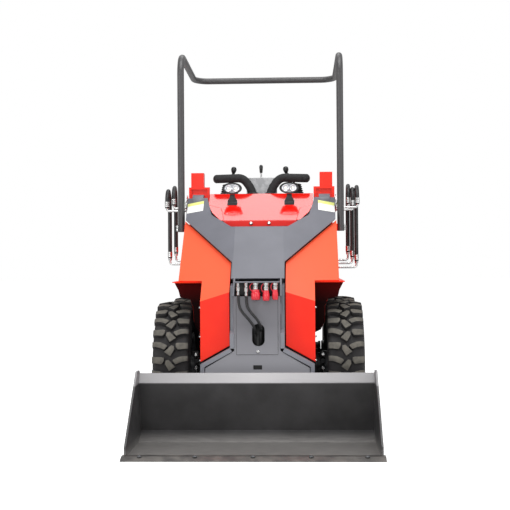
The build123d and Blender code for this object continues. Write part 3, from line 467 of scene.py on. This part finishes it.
# The hood is polished: it mirrors the lamps on it and the soft box behind the machine. The strip
# folded down along its front edge isn't polished.
hood_red, tree, shader, place = new_finish("powder_coat_polished_red", "#E81A10", 0.16)
blotches(tree, place, shader, "#E4170E", "#EC1F13", 260.0)
grain(tree, place, shader, 5.0, 0.01, 0.2)
shader.inputs["Coat Roughness"].default_value = 0.06
height = add(tree, "ShaderNodeSeparateXYZ", {0: place})
polish = add(tree, "ShaderNodeMapRange", {"Value": height.outputs[2], "From Min": 1.084, "From Max": 1.088})
tree.links.new(polish.outputs[0], shader.inputs["Coat Weight"])
dulled = add(tree, "ShaderNodeMapRange", {"Value": polish.outputs[0], "To Min": 0.6, "To Max": 0.16})
tree.links.new(dulled.outputs[0], shader.inputs["Roughness"])
dress(["hood"], hood_red)

# Bright button screws down the outer sides of the nose.
for side, word in SIDES:
    fixings(f"nose_panel_screws_{word}", hex_head(8, 6),
            [stand((side * 285.2, -396, z), (side, 0, 0)) for z in (378, 496, 640)], "chassis")

# Closing plates on the boom's arms, level with the hood at rest: they fill the corners that the
# hood leaves free for the arms, and rise with them.
CORNER_OUTLINE = [(195.6, -7.6), (212, -7.6), (262, 60), (284, 122.9), (262, 114), (216.4, 95.4), (206.6, 60)]
HOOD_SLOPE, HOOD_EDGE_Y, HOOD_EDGE_Z, CORNER_DEPTH = math.atan2(156.0, 229.7), -0.008, 1.089, 0.004
for side, word in SIDES:
    corner = flat_plate(CORNER_OUTLINE, 3.9, 0.3)
    for vert in corner.verts:
        y, z = vert.co.y, vert.co.z - CORNER_DEPTH
        vert.co.x *= side
        vert.co.y = y - z * math.sin(HOOD_SLOPE)
        vert.co.z = HOOD_EDGE_Z + (y - HOOD_EDGE_Y) * math.tan(HOOD_SLOPE) + z * math.cos(HOOD_SLOPE)
    finished(corner, f"arm_closing_plate_{word}", hood_red, "lift_arm", 10)

# Two button bolts on the folded front strip of the hood.
fixings("hood_bolts", dome_head(10), [stand((x, -8.2, 1072), (0, -1, 0)) for x in (-48, 48)], "chassis")

# Engine door: two rising hinges, a wing latch and the screws at its corners.
door_fittings = lathe([(0, 0), (8, 0), (8, 90), (0, 90)], 20)
spread(door_fittings, [stand((-268, 747.5, z)) for z in (420, 900)])
finished(door_fittings, "rear_door_hinges", black_coat, "chassis")
latch = flat_plate([(-16, -34), (16, -34), (16, 34), (-16, 34)], 9, 3)
placed(latch, stand((240, 743.2, 860), (0, 1, 0)))
paddle = flat_plate([(-9, -22), (9, -22), (6, 22), (-6, 22)], 7, 2)
placed(paddle, stand((240, 752.3, 856), (0, 1, 0)))
finished(latch, "rear_door_latch", black_coat, "chassis")
finished(paddle, "rear_door_paddle", zinc, "chassis")
fixings("rear_door_screws", hex_head(13, 8),
        [stand((x, 743.1, z), (0, 1, 0)) for x in (-262, 262) for z in (350, 620, 1030)], "chassis")

# Filler caps of the fuel tank on the left and of the hydraulic tank on the right, moulded in
# nylon that looks dull and a little coarse.
cap_rubber, tree, shader, place = new_finish("moulded_nylon_black", "#1D1D1E", 0.5)
grain(tree, place, shader, 1.2, 0.12, 0.5)
for side, word in SIDES:
    cap = lathe([(0, 26), (24, 26), (30, 23), (33, 17), (33, 4), (28, 0), (0, 0)], 36)
    ribs = [e for e in cap.edges if abs(e.verts[0].co.z - e.verts[1].co.z) > 0.012]
    bmesh.ops.bevel(cap, geom=ribs[::2], offset=0.0011, segments=1, profile=0.5, affect="EDGES", material=-1)
    placed(cap, stand((side * 348, 560, 1072.2)))
    finished(cap, f"filler_cap_{word}", cap_rubber, "chassis")

# ---- Guard hoop ----
# One bent tube in graphite powder coat, clamped by two hexagon bolts through each foot.
hoop_coat, tree, shader, place = new_finish("powder_coat_satin_hoop_grey", "#414041", 0.36)
blotches(tree, place, shader, "#3E3D3E", "#444344", 400.0)
grain(tree, place, shader, 1.2, 0.02, 0.3)
dress(["guard_hoop"], hoop_coat, 0)
for side, word in SIDES:
    fixings(f"hoop_foot_bolts_{word}", hex_head(15, 9),
            [stand((side * 452.2, 112, z), (side, 0, 0)) for z in (1044, 1060)], "chassis")

# ---- Console and controls ----
# Moulded console behind the hood with a raised middle under a clear film that glints in patches,
# from its bumpy clear coat and from pale patches painted into its grey as painted reflections;
# two drive levers in dull ribbed rubber gaiters, a middle lever, and two foam grab handles.
console_film, tree, shader, place = new_finish("abs_console_under_clear_film", "#77787A", 0.22)
# Pale patches in the grey: painted reflections of the film.
blotches(tree, place, shader, "#77787B", "#9A9B9D", 38.0, 0.4, 0.62)
grain(tree, place, shader, 22.0, 0.45, 0.5)
shader.inputs["Coat Weight"].default_value = 0.6
shader.inputs["Coat Roughness"].default_value = 0.08
dress(["console"], console_film, 3.0)

gaiter_rubber, tree, shader, place = new_finish("gaiter_rubber_ribbed", "#191919", 0.55)
grain(tree, place, shader, 1.0, 0.08, 0.5)
ribs = [(50, 0), (50, 4)]
for k in range(5):
    wide = 48 - 2.8 * k
    ribs += [(wide, 5 + 11 * k), (wide + 2, 8 + 11 * k), (wide - 1, 12 + 11 * k), (wide - 8, 14 + 11 * k)]
ribs += [(16, 60), (9, 62), (0, 62)]
gaiter = spread(lathe(ribs, 40), [stand((x, 318, 1246.4)) for x in (-185, 185)])
piece = finished(gaiter, "lever_gaiters", gaiter_rubber, "chassis", 60)
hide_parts("gaiters")


def route_line(name, points_mm):
    """NURBS curve through the route's corners, in metres."""
    data = bpy.data.curves.new(name, "CURVE")
    data.dimensions = "3D"
    data.resolution_u = 16
    spline = data.splines.new("NURBS")
    spline.points.add(len(points_mm) - 1)
    for point, corner in zip(spline.points, points_mm):
        point.co = [c / 1000.0 for c in corner] + [1.0]
    spline.order_u = 3
    spline.use_endpoint_u = True
    return data


def bent_bar(name, points_mm, diameter_mm, finish):
    """Round bar or tube along a route, and the points of its centreline."""
    data = route_line(name + "_line", points_mm)
    holder = bpy.data.objects.new(name + "_line", data)
    scene.collection.objects.link(holder)
    centre = bpy.data.meshes.new_from_object(holder)
    path = [v.co.copy() for v in centre.vertices]
    data.bevel_depth = diameter_mm / 2000.0
    data.bevel_resolution = 5
    data.use_fill_caps = True
    mesh = bpy.data.meshes.new_from_object(holder)
    mesh.name = name
    bpy.data.objects.remove(holder)
    mesh.shade_smooth()
    mesh.materials.clear()
    mesh.materials.append(finish)
    piece = bpy.data.objects.new(name, mesh)
    scene.collection.objects.link(piece)
    return piece, path


# Levers: bent steel stalks with pear-shaped knobs of black phenolic.
knob_black, tree, shader, place = new_finish("phenolic_knob_black", "#141415", 0.25)
grain(tree, place, shader, 6.0, 0.02, 0.2)
for side, word, top_x in ((1, "right", 138), (-1, "left", 162)):
    route = [(side * 182, 318, 1300), (side * 182, 318, 1332), (side * top_x, 328, 1368)]
    stalk, _ = bent_bar(f"drive_lever_stalk_{word}", route, 12, black_coat)
    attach(stalk, "chassis")
    knob = lathe([(0, 41), (7, 40.4), (12.5, 37), (15.5, 30), (15.5, 22), (12.5, 12), (8.5, 4), (7.5, 0), (0, 0)])
    placed(knob, stand((side * top_x, 327.5, 1363.5), (-side * 0.12, 0.1, 1)))
    finished(knob, f"drive_lever_knob_{word}", knob_black, "chassis", 60)
    if side > 0:
        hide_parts("drive_levers")
stalk, _ = bent_bar("centre_lever_stalk", [(-4, 318, 1332), (-4, 317, 1356), (-4, 316, 1380)], 10, zinc)
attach(stalk, "chassis")
knob = lathe([(0, 46), (5, 45.4), (9.4, 41), (10.6, 34), (9.6, 20), (8.4, 6), (7, 0), (0, 0)])
placed(knob, stand((-4, 316, 1367)))
piece = finished(knob, "centre_lever_knob", knob_black, "chassis", 60)
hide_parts("centre_lever")

# Grab handles: steel canes in thick foam sleeves with a rounded free end.
foam, tree, shader, place = new_finish("nitrile_foam_closed_cell", "#1C1C1D", 0.82)
blotches(tree, place, shader, "#181819", "#252526", 14.0)
grain(tree, place, shader, 1.4, 0.3, 0.8)
for side, word in SIDES:
    cane = [(side * 52, 256, 1250), (side * 58, 256, 1276), (side * 102, 256, 1335), (side * 160, 256, 1333),
            (side * 253, 256, 1330.6)]
    sleeve, _ = bent_bar(f"handle_sleeve_{word}", cane, 48, foam)
    tip = lathe([(0, 18), (7, 17.2), (14, 14.2), (19.5, 9.4), (23, 3.6), (24, 0), (23.5, -2)], 32)
    placed(tip, stand(cane[-1], (side, 0, -0.02)))
    finished(tip, f"handle_tip_{word}", foam, "chassis", 80)
    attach(sleeve, "chassis")
    if side > 0:
        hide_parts("grab_handles")
    foot = lathe([(0, 7), (26, 7), (30, 4), (31, 0), (0, 0)])
    placed(foot, stand((side * 50, 256, 1246.3)))
    finished(foot, f"handle_foot_{word}", black_coat, "chassis")

# ---- Work lamps ----
# Oval twin-reflector lamps in black die-cast housings, each on a small bracket on the hood. The
# carrier is matt and the bowls are bright, so that the two pale chips stand out; the chips also
# glow faintly, a painted glow.
lamp_chrome, tree, shader, place = new_finish("reflector_vacuum_aluminised", "#D3D4D8", 0.32, 1.0)
grain(tree, place, shader, 4.0, 0.05, 0.3)
carrier_grey, tree, shader, place = new_finish("lamp_carrier_aluminised_matt", "#8D8F93", 0.5)
blotches(tree, place, shader, "#84868A", "#A6A8AC", 12.0)
chip_painted_glow, tree, shader, place = new_finish("led_chip_pale_painted_glow", "#FFFCEF", 0.4)
# A faint glow that makes the chips pale: painted light.
shader.inputs["Emission Color"].default_value = linear("#FFFDF4")
shader.inputs["Emission Strength"].default_value = 0.45
blotches(tree, place, shader, "#FFFDF2", "#FFF3C9", 3.0)
LAMP_ACROSS, LAMP_HEIGHT = 156.0, 1268
for side, word in SIDES:
    shell = bmesh.new()
    bmesh.ops.create_cone(shell, cap_ends=True, segments=48, radius1=0.040, radius2=0.054, depth=0.036)
    bmesh.ops.scale(shell, vec=(1.0, 0.58, 1.0), verts=shell.verts[:])
    front = max(shell.faces, key=lambda f: f.calc_center_median().z)
    bmesh.ops.inset_region(shell, faces=[front], thickness=0.003)
    bmesh.ops.translate(shell, vec=(0, 0, -0.004), verts=list(front.verts))
    placed(shell, stand((side * LAMP_ACROSS, 131, LAMP_HEIGHT), (0, -1, 0)))
    piece = finished(shell, f"lamp_housing_{word}", black_coat, "chassis", 40)
    if side > 0:
        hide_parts("work_lamps")
    carrier = bmesh.new()
    bmesh.ops.create_cone(carrier, cap_ends=True, segments=48, radius1=0.0425, radius2=0.0425, depth=0.002)
    bmesh.ops.scale(carrier, vec=(1.0, 0.56, 1.0), verts=carrier.verts[:])
    placed(carrier, stand((side * LAMP_ACROSS, 115.8, LAMP_HEIGHT), (0, -1, 0)))
    finished(carrier, f"lamp_carrier_{word}", carrier_grey, "chassis", 40)
    bowls = lathe([(18.8, -2), (18.8, 1.4), (17.4, 2.4), (15.6, 1.6), (12, -0.6), (7, -1.6), (0, -1.8)], 36)
    spread(bowls, [stand((side * LAMP_ACROSS + dx, 112.6, LAMP_HEIGHT), (0, -1, 0)) for dx in (-20, 20)])
    finished(bowls, f"lamp_reflectors_{word}", lamp_chrome, "chassis", 60)
    chips = lathe([(0, 3.4), (4.2, 2.8), (6.4, 0), (6.4, -2), (0, -2)], 24)
    spread(chips, [stand((side * LAMP_ACROSS + dx, 113.4, LAMP_HEIGHT), (0, -1, 0)) for dx in (-20, 20)])
    finished(chips, f"lamp_chips_{word}", chip_painted_glow, "chassis", 60)
    bracket = flat_plate([(-26, 0), (26, 0), (26, 4), (14, 26), (14, 40), (-14, 40), (-14, 26), (-26, 4)], 5, 1)
    placed(bracket, upright((side * LAMP_ACROSS, 136, 1197)))
    finished(bracket, f"lamp_bracket_{word}", black_coat, "chassis")
    foot = flat_plate([(-27, -18), (27, -18), (27, 18), (-27, 18)], 5, 1.5)
    placed(foot, stand((side * LAMP_ACROSS, 136, 1184.5), (0, -0.563, 0.826)))
    finished(foot, f"lamp_foot_{word}", black_coat, "chassis")

# ---- Boom ----
# Folded shield on two box arms with a column below it, welded from plate in satin iron-grey
# powder coat, with a pressed cover bolted over the column's front.
grey_coat, tree, shader, place = new_finish("powder_coat_satin_iron_grey", "#66676F", 0.40)
base = blotches(tree, place, shader, "#62636B", "#6A6B73", 200.0)
# Below the shield the boom is painted a lighter grey, darker up under the knee: painted light and shade.
parts = add(tree, "ShaderNodeSeparateXYZ", {0: place})
below = add(tree, "ShaderNodeMapRange",
            {"Value": parts.outputs[2], "From Min": 0.58, "From Max": 0.72, "To Min": 1.0, "To Max": 0.0})
painted_light_tint = add(tree, "ShaderNodeMix", {0: below.outputs[0], 6: base.outputs[2], 7: linear("#7D7E86")},
            data_type="RGBA")
tree.links.new(painted_light_tint.outputs[2], shader.inputs["Base Color"])
grain(tree, place, shader, 2.2, 0.05, 0.5)
dress(["boom", "attach_plate"], grey_coat)

# The cover is painted a lighter grey towards its foot and darker higher up: painted light and shade.
cover_coat, tree, shader, place = new_finish("powder_coat_satin_cover_grey", "#7A7A80", 0.34)
parts = add(tree, "ShaderNodeSeparateXYZ", {0: place})
height = add(tree, "ShaderNodeMapRange", {"Value": parts.outputs[2], "From Min": 0.33, "From Max": 0.56})
painted_shade_tone = add(tree, "ShaderNodeMix", {0: height.outputs[0], 6: linear("#919197"), 7: linear("#6F6E74")},
           data_type="RGBA")
tree.links.new(painted_shade_tone.outputs[2], shader.inputs["Base Color"])
grain(tree, place, shader, 2.2, 0.05, 0.4)
dress(["boom_cover"], cover_coat)

# Upper cover sheet with the oblong hole for the hoses, screwed over the pressed cover; thin black
# strips round its edge, a painted shadow of its seam; and a black sheet behind the latch slot below
# it, painted shade of the slot.
SHEET_CORNERS = [(-101, 414), (101, 414), (101, 698), (-101, 698)]
HOLE_X, HOLE_Z, HOLE_HALF_RUN, HOLE_RADIUS, HOLE_STEPS = 6, 509, 24, 31, 32
sheet = bmesh.new()
border = [sheet.verts.new((x / 1000.0, z / 1000.0, 0.0)) for x, z in SHEET_CORNERS]
rim = []
for k in range(HOLE_STEPS):
    turn = (k + 0.5) * math.tau / HOLE_STEPS
    z = HOLE_Z + math.copysign(HOLE_HALF_RUN, math.sin(turn)) + HOLE_RADIUS * math.sin(turn)
    rim.append(sheet.verts.new(((HOLE_X + HOLE_RADIUS * math.cos(turn)) / 1000.0, z / 1000.0, 0.0)))
for loop in (border, rim):
    for a, b in zip(loop, loop[1:] + loop[:1]):
        sheet.edges.new((a, b))
bmesh.ops.triangle_fill(sheet, use_beauty=True, use_dissolve=False, edges=sheet.edges[:])
grown = bmesh.ops.extrude_face_region(sheet, geom=sheet.faces[:])["geom"]
for vert in [g for g in grown if isinstance(g, bmesh.types.BMVert)]:
    vert.co.z = 0.0024
finished(placed(sheet, upright((0, -476.2, 0))), "upper_cover_sheet", cover_coat, "lift_arm", 30)
# Black strips along the sheet's edges: painted shadow of the seam.
strips = bmesh.new()
for left, right, low, high in ((-102.4, 102.4, 412.2, 413.8), (101.2, 102.6, 413, 690), (-102.6, -101.2, 413, 690)):
    join(strips, flat_plate([(left, low), (right, low), (right, high), (left, high)], 0.8, 0))
finished(placed(strips, upright((0, -476.2, 0))), "cover_seam_painted_shadow", gaiter_rubber, "lift_arm")
# Black sheet behind the latch slot: painted shade in the slot.
slot_shade_sheet = flat_plate([(-24, 333), (27, 333), (27, 366), (-24, 366)], 0.8, 0.2)
finished(placed(slot_shade_sheet, upright((0, -467.6, 0))), "latch_slot_painted_shade", gaiter_rubber, "lift_arm")

# Blank vinyl plates on the wings, yellow over white.
white_vinyl, tree, shader, place = new_finish("vinyl_plate_white", "#F0F0EC", 0.3)
blotches(tree, place, shader, "#F2F2EE", "#E6E6E1", 40.0)
yellow_vinyl, tree, shader, place = new_finish("vinyl_plate_yellow", "#E9DF6E", 0.3)
blotches(tree, place, shader, "#DCE07A", "#E6E98C", 30.0)
SHIELD_TILT, WING_TURN = math.radians(42.4), math.radians(13.0)


def wing_frame(side, x_mm, z_mm, lift_mm):
    """Matrix of a spot on the wing's face: X across the wing, Y up its slope, Z out of it."""
    out = Vector((0.0, -math.sin(SHIELD_TILT), math.cos(SHIELD_TILT)))
    up = Vector((0.0, math.cos(SHIELD_TILT), math.sin(SHIELD_TILT)))
    across = Vector((1.0, 0.0, 0.0))
    fold = Matrix.Rotation(side * WING_TURN, 3, up)
    out, across = fold @ out, fold @ across
    knee = Vector((side * 0.128, -0.475, 0.700))
    slope = (Vector((x_mm / 1000.0, 0.0, z_mm / 1000.0)) - knee)
    y = knee.y - (slope.x * out.x + slope.z * out.z) / out.y
    spot = Vector((x_mm / 1000.0, y, z_mm / 1000.0)) + out * (lift_mm / 1000.0)
    turn = Matrix((across, out.cross(across), out)).transposed().to_4x4()
    return Matrix.Translation(spot) @ turn


for side, word in SIDES:
    for part, finish, low, high in (("yellow", yellow_vinyl, 16, 41), ("white", white_vinyl, -41, 15.6)):
        plate = flat_plate([(-46, low), (46, low), (46, high), (-46, high)], 0.6, 0.2)
        placed(plate, wing_frame(side, side * 357, 1166, 0.3))
        finished(plate, f"wing_plate_{part}_{word}", finish, "lift_arm")

# Fixing of the lower cover: a button bolt above the slot; the hexagon bolts at its corners are not drawn.
fixings("cover_button_bolt", dome_head(9), [stand((2.7, -478.8, 428), (0, -1, 0))], "lift_arm")

# Zinc nuts of the pivot pins, on the outer faces of the arms' ears and of the bucket's hinges.
for side, word in SIDES:
    fixings(f"pivot_pin_nut_{word}", hex_head(24, 13), [stand((side * 406.3, 199, 1188), (side, 0, 0))], "chassis")
    fixings(f"hinge_pin_nut_{word}", hex_head(22, 12),
            [stand((side * 306.2, -505, 205), (side, 0, 0))], "bucket_and_plate")

# ---- Couplers ----
# Row of flat-face quick couplers on a plate in the knee's recess: three wear red dust caps on
# moulded straps, two carry braided hoses in a guard.
cap_red, tree, shader, place = new_finish("pvc_dust_cap_red", "#D81E30", 0.3)
blotches(tree, place, shader, "#D21B2C", "#E0293A", 18.0)
shader.inputs["Coat Weight"].default_value = 0.4
# Each coupler: its place across, the height of its lower end and its radii.
CAPPED = [(-5, 732, 14, 22), (46, 728, 14, 17), (90, 732, 12, 14)]
PLUGGED = [(-90, 704, 7), (-51, 700, 8)]
ROW_Y, SHELF_UNDERSIDE = -502, 765
plate = flat_plate([(-111, -518), (111, -518), (111, -407), (-111, -407)], 5.5, 0.8)
bmesh.ops.translate(plate, vec=(0, 0, 0.7653), verts=plate.verts[:])
piece = finished(plate, "coupler_shelf", grey_coat, "lift_arm")
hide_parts("couplers")
# The plate at the back of the recess is black: painted shade of the recess.
back = flat_plate([(-111, 701), (111, 701), (111, 765), (-111, 765)], 5, 0.8)
finished(placed(back, upright((0, -406, 0))), "coupler_recess_painted_shade", black_coat, "lift_arm")
for k, (x, low, body_r, cap_r) in enumerate(CAPPED):
    top = SHELF_UNDERSIDE - low
    coupler = lathe([(0, 0), (body_r - 2, 0), (body_r - 1, 3), (body_r - 1, 9), (body_r, 10), (body_r, top * 0.45),
                     (body_r - 2.5, top * 0.5), (body_r - 2.5, top * 0.6), (body_r, top * 0.66), (body_r, top),
                     (0, top)])
    finished(placed(coupler, stand((x, ROW_Y, low))), f"coupler_body_{k}", zinc, "lift_arm")
    cap = lathe([(0, -50), (cap_r * 0.8, -50), (cap_r * 0.96, -46), (cap_r, -40), (cap_r, -18), (cap_r * 0.92, -15),
                 (cap_r * 0.84, -13), (cap_r * 0.84, -3), (cap_r * 0.8, -0.4), (0, -0.4)], 36)
    grips = [e for e in cap.edges if abs(e.verts[0].co.z - e.verts[1].co.z) > 0.01]
    bmesh.ops.bevel(cap, geom=grips[::3], offset=0.0009, segments=1, profile=0.5, affect="EDGES", material=-1)
    piece = finished(placed(cap, stand((x, ROW_Y, low))), f"dust_cap_{k}", cap_red, "lift_arm")
    if k == 0:
        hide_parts("coupler_caps")
    loop = [(x - cap_r * 0.7, -503, low - 12), (x - cap_r - 7, -508, low + 4), (x - cap_r - 5, -509, low + 24),
            (x - body_r, -505, low + 32)]
    strap, _ = bent_bar(f"dust_cap_strap_{k}", loop, 4, cap_red)
    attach(strap, "lift_arm")
for k, (x, low, body_r) in enumerate(PLUGGED):
    top = SHELF_UNDERSIDE - low
    coupler = lathe([(0, 0), (body_r - 1.5, 0), (body_r, 2), (body_r, 12), (body_r - 1.5, 13), (body_r - 1.5, 22),
                     (body_r + 2, 23), (body_r + 2, 40), (body_r, 42), (body_r, top), (0, top)])
    finished(placed(coupler, stand((x, ROW_Y, low))), f"plugged_coupler_{k}", zinc, "lift_arm")

# Hoses from the plugged couplers, 13 mm across in their guards, that end inside the cover's
# oblong hole. The braid is drawn coarser than its 1 mm yarns, so that it shows.
braid_cover, tree, shader, place = new_finish("braided_hose_cover_black", "#161616", 0.38)
blotches(tree, place, shader, "#111112", "#2A2A2B", 4.0)
weave = add(tree, "ShaderNodeTexWave", {"Vector": place, "Scale": 90.0, "Distortion": 1.5},
            bands_direction="DIAGONAL")
braid = add(tree, "ShaderNodeBump", {"Height": weave.outputs["Fac"], "Distance": 0.0008, "Strength": 0.9})
tree.links.new(braid.outputs[0], shader.inputs["Normal"])
COUPLER_HOSES = {
    "coupler_hose_left": [(-90, -502, 703.7), (-90, -502, 660), (-72, -506, 622), (-36, -510, 584),
                          (-12, -500, 548), (-8, -474, 520), (-8, -440, 512)],
    "coupler_hose_right": [(-51, -502, 699.7), (-51, -502, 656), (-32, -508, 624), (0, -512, 590), (18, -500, 556),
                           (20, -474, 532), (20, -440, 526)],
}
COUPLER_HOSE_DIAMETER = 13.0


def cord_from(node):
    """Hides the CAD node that a hose stands for."""
    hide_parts(node)


for node, corners in COUPLER_HOSES.items():
    piece, path = bent_bar("braided_" + node, corners, COUPLER_HOSE_DIAMETER, braid_cover)
    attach(piece, "lift_arm")
    cord_from(node)

# ---- Side hydraulic hoses ----
# Two-wire rubber hoses, 23 mm across over their wrapped guards, in crimped ferrules. They loop
# from the elbows beside the boom's pivots back and down to the elbows on the side tanks.
hose_cover, tree, shader, place = new_finish("nitrile_hose_cover_wrapped", "#19191A", 0.40)
blotches(tree, place, shader, "#141415", "#262627", 30.0)
grain(tree, place, shader, 1.6, 0.15, 0.6)
SIDE_HOSES = {
    "hose_left_outer": [(-522, 186, 1166), (-522, 186, 1212), (-523, 217, 1254), (-524, 266, 1270),
                        (-526, 316, 1254), (-527, 346, 1212), (-527, 353, 1117), (-527, 348, 985),
                        (-527, 348, 889)],
    "hose_left_inner": [(-489, 214, 1182), (-489, 214, 1232), (-490, 245, 1274), (-492, 294, 1290),
                        (-494, 344, 1274), (-496, 374, 1232), (-496, 381, 1137), (-496, 376, 1010),
                        (-496, 376, 916)],
    "hose_right_outer": [(505, 186, 1166), (505, 186, 1214), (505, 217, 1256), (506, 266, 1272), (507, 316, 1256),
                         (507, 346, 1214), (507, 353, 1119), (507, 348, 985), (507, 348, 889)],
    "hose_right_inner": [(482, 214, 1182), (482, 214, 1234), (482, 245, 1276), (483, 294, 1292), (484, 344, 1276),
                         (484, 374, 1234), (484, 381, 1139), (484, 376, 1010), (484, 376, 916)],
    "hose_right_low": [(528, 168, 1178), (528, 168, 1224), (528, 199, 1266), (529, 248, 1282), (530, 298, 1266),
                       (530, 328, 1224), (530, 335, 1120), (530, 330, 975), (530, 330, 866)],
}
SIDE_HOSE_DIAMETER = 23.0
dress(["boom_ports", "pod_ports"], zinc, 0)
FERRULE = [(0, -2), (9.5, -2), (11, 0), (11, 4), (10.6, 6), (13, 8), (13, 13), (12.2, 15), (13, 17), (13, 22),
           (12.2, 24), (13, 26), (13, 34), (12.4, 36), (11.4, 36)]
for node, corners in SIDE_HOSES.items():
    piece, path = bent_bar("rubber_" + node, corners, SIDE_HOSE_DIAMETER, hose_cover)
    side = math.copysign(1.0, corners[0][0])
    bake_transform(piece)
    cord_from(node)
    upper = lathe(FERRULE, 28)
    finished(placed(upper, stand(corners[0])), f"ferrule_upper_{node}", zinc, "lift_arm")
    lower = lathe(FERRULE, 28)
    finished(placed(lower, stand(corners[-1])), f"ferrule_lower_{node}", zinc, "chassis")

# ---- Bucket ----
# Welded bucket in graphite powder coat, scuffed inside by its load, with a painted highlight
# along its top flange, and a wear-steel edge held by five plough bolts.
bucket_coat, tree, shader, place = new_finish("bucket_paint_scuffed_and_painted_highlight", "#3A393A", 0.42)
base = blotches(tree, place, shader, "#302F30", "#3E3D3E", 150.0)
parts = add(tree, "ShaderNodeSeparateXYZ", {0: place})
scrape_place = add(tree, "ShaderNodeMapping", {"Vector": place, "Scale": (5.0, 34.0, 34.0)})
scrapes = add(tree, "ShaderNodeTexNoise", {"Vector": scrape_place.outputs[0], "Scale": 3.0, "Detail": 6.0})
worn_floor = add(tree, "ShaderNodeMapRange",
                 {"Value": parts.outputs[2], "From Min": 0.012, "From Max": 0.05, "To Min": 1.0, "To Max": 0.0})
streaks = add(tree, "ShaderNodeMapRange",
              {"Value": scrapes.outputs["Fac"], "From Min": 0.35, "From Max": 0.62, "To Min": 0.42, "To Max": 0.62})
amount = add(tree, "ShaderNodeMath", {0: worn_floor.outputs[0], 1: streaks.outputs[0]}, operation="MULTIPLY")
scratch_place = add(tree, "ShaderNodeMapping", {"Vector": place, "Scale": (14.0, 110.0, 110.0)})
scratch_noise = add(tree, "ShaderNodeTexNoise", {"Vector": scratch_place.outputs[0], "Scale": 1.6, "Detail": 5.0})
scratches = add(tree, "ShaderNodeMapRange",
                {"Value": scratch_noise.outputs["Fac"], "From Min": 0.49, "From Max": 0.62, "To Max": 1.0})
near_edge = add(tree, "ShaderNodeMapRange",
                {"Value": parts.outputs[1], "From Min": -0.95, "From Max": -0.82, "To Min": 1.0, "To Max": 0.0})
edge_wear = add(tree, "ShaderNodeMath", {0: near_edge.outputs[0], 1: scratches.outputs[0]}, operation="MULTIPLY")
edge_low = add(tree, "ShaderNodeMath", {0: edge_wear.outputs[0], 1: worn_floor.outputs[0]}, operation="MULTIPLY")
floor_wear = add(tree, "ShaderNodeMath", {0: amount.outputs[0], 1: edge_low.outputs[0]}, operation="MAXIMUM")
bare = add(tree, "ShaderNodeMix", {0: floor_wear.outputs[0], 6: base.outputs[2], 7: linear("#8A8784")},
           data_type="RGBA")
# Paler along the top flange, most in the middle: painted highlight.
flange = add(tree, "ShaderNodeMapRange", {"Value": parts.outputs[2], "From Min": 0.286, "From Max": 0.292})
across = add(tree, "ShaderNodeMath", {0: parts.outputs[0]}, operation="ABSOLUTE")
middle = add(tree, "ShaderNodeMapRange",
             {"Value": across.outputs[0], "From Min": 0.02, "From Max": 0.56, "To Min": 1.0, "To Max": 0.55})
painted_flange_highlight = add(tree, "ShaderNodeMath", {0: flange.outputs[0], 1: middle.outputs[0]}, operation="MULTIPLY")
painted_highlight_mix = add(tree, "ShaderNodeMix", {0: painted_flange_highlight.outputs[0], 6: bare.outputs[2], 7: linear("#A5A3A5")},
               data_type="RGBA")
tree.links.new(painted_highlight_mix.outputs[2], shader.inputs["Base Color"])
grain(tree, place, shader, 2.0, 0.08, 0.5)
dress(["bucket"], bucket_coat)

wear_steel, tree, shader, place = new_finish("wear_steel_edge_painted", "#4A4847", 0.40, 0.3)
blotches(tree, place, shader, "#454342", "#67635F", 60.0)
grain(tree, place, shader, 1.5, 0.12, 0.6)
dress(["cutting_edge"], wear_steel, 1.0)
ploughs = spread(dome_head(11), [stand((x, -1020, 15.2), (0, 0, 1)) for x in (-500, -255, 0, 255, 500)])
finished(ploughs, "edge_plough_bolts", graphite, "bucket_and_plate")

# ---- Cylinder rods ----
# Steel rods of the three cylinders, ground and hard chromed: they mirror what stands round them.
chrome, tree, shader, place = new_finish("hard_chrome_ground_rod", "#E6E6E8", 0.10, 1.0)
grain(tree, place, shader, 0.6, 0.01, 0.3)
dress(["lift_rod_left", "lift_rod_right", "tilt_rod"], chrome, 0)

# ---- Thigh pad ----
# Foam pad in stitched black vinyl, screwed to the engine door at the height of the operator's
# thighs: a crowned form with a welt round its edge.
pad_vinyl, tree, shader, place = new_finish("upholstery_vinyl_black", "#1B1B1C", 0.5)
blotches(tree, place, shader, "#171718", "#242425", 60.0)
grain(tree, place, shader, 2.2, 0.25, 0.7)
PAD_WIDTH, PAD_DEPTH, PAD_HEIGHT, PAD_CROWN = 0.470, 0.046, 0.150, 0.012
pad = bmesh.new()
bmesh.ops.create_cube(pad, size=1.0)
bmesh.ops.scale(pad, vec=(PAD_WIDTH, PAD_DEPTH, PAD_HEIGHT), verts=pad.verts[:])
bmesh.ops.bevel(pad, geom=pad.edges[:], offset=0.014, segments=3, profile=0.5, affect="EDGES", material=-1)
bmesh.ops.subdivide_edges(pad, edges=[e for e in pad.edges if e.calc_length() > 0.03], cuts=7, use_grid_fill=True)
for vert in pad.verts:
    bow = 1.0 - (vert.co.x / (PAD_WIDTH / 2)) ** 2
    if vert.co.y > 0:
        vert.co.y += PAD_CROWN * bow * (1.0 - (vert.co.z / (PAD_HEIGHT / 2)) ** 2)
    vert.co.z *= 1.0 - 0.02 * bow
bmesh.ops.translate(pad, vec=(0, 0.7665, 0.960), verts=pad.verts[:])
piece = finished(pad, "thigh_pad_cushion", pad_vinyl, "chassis", 80)
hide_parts("thigh_pad")
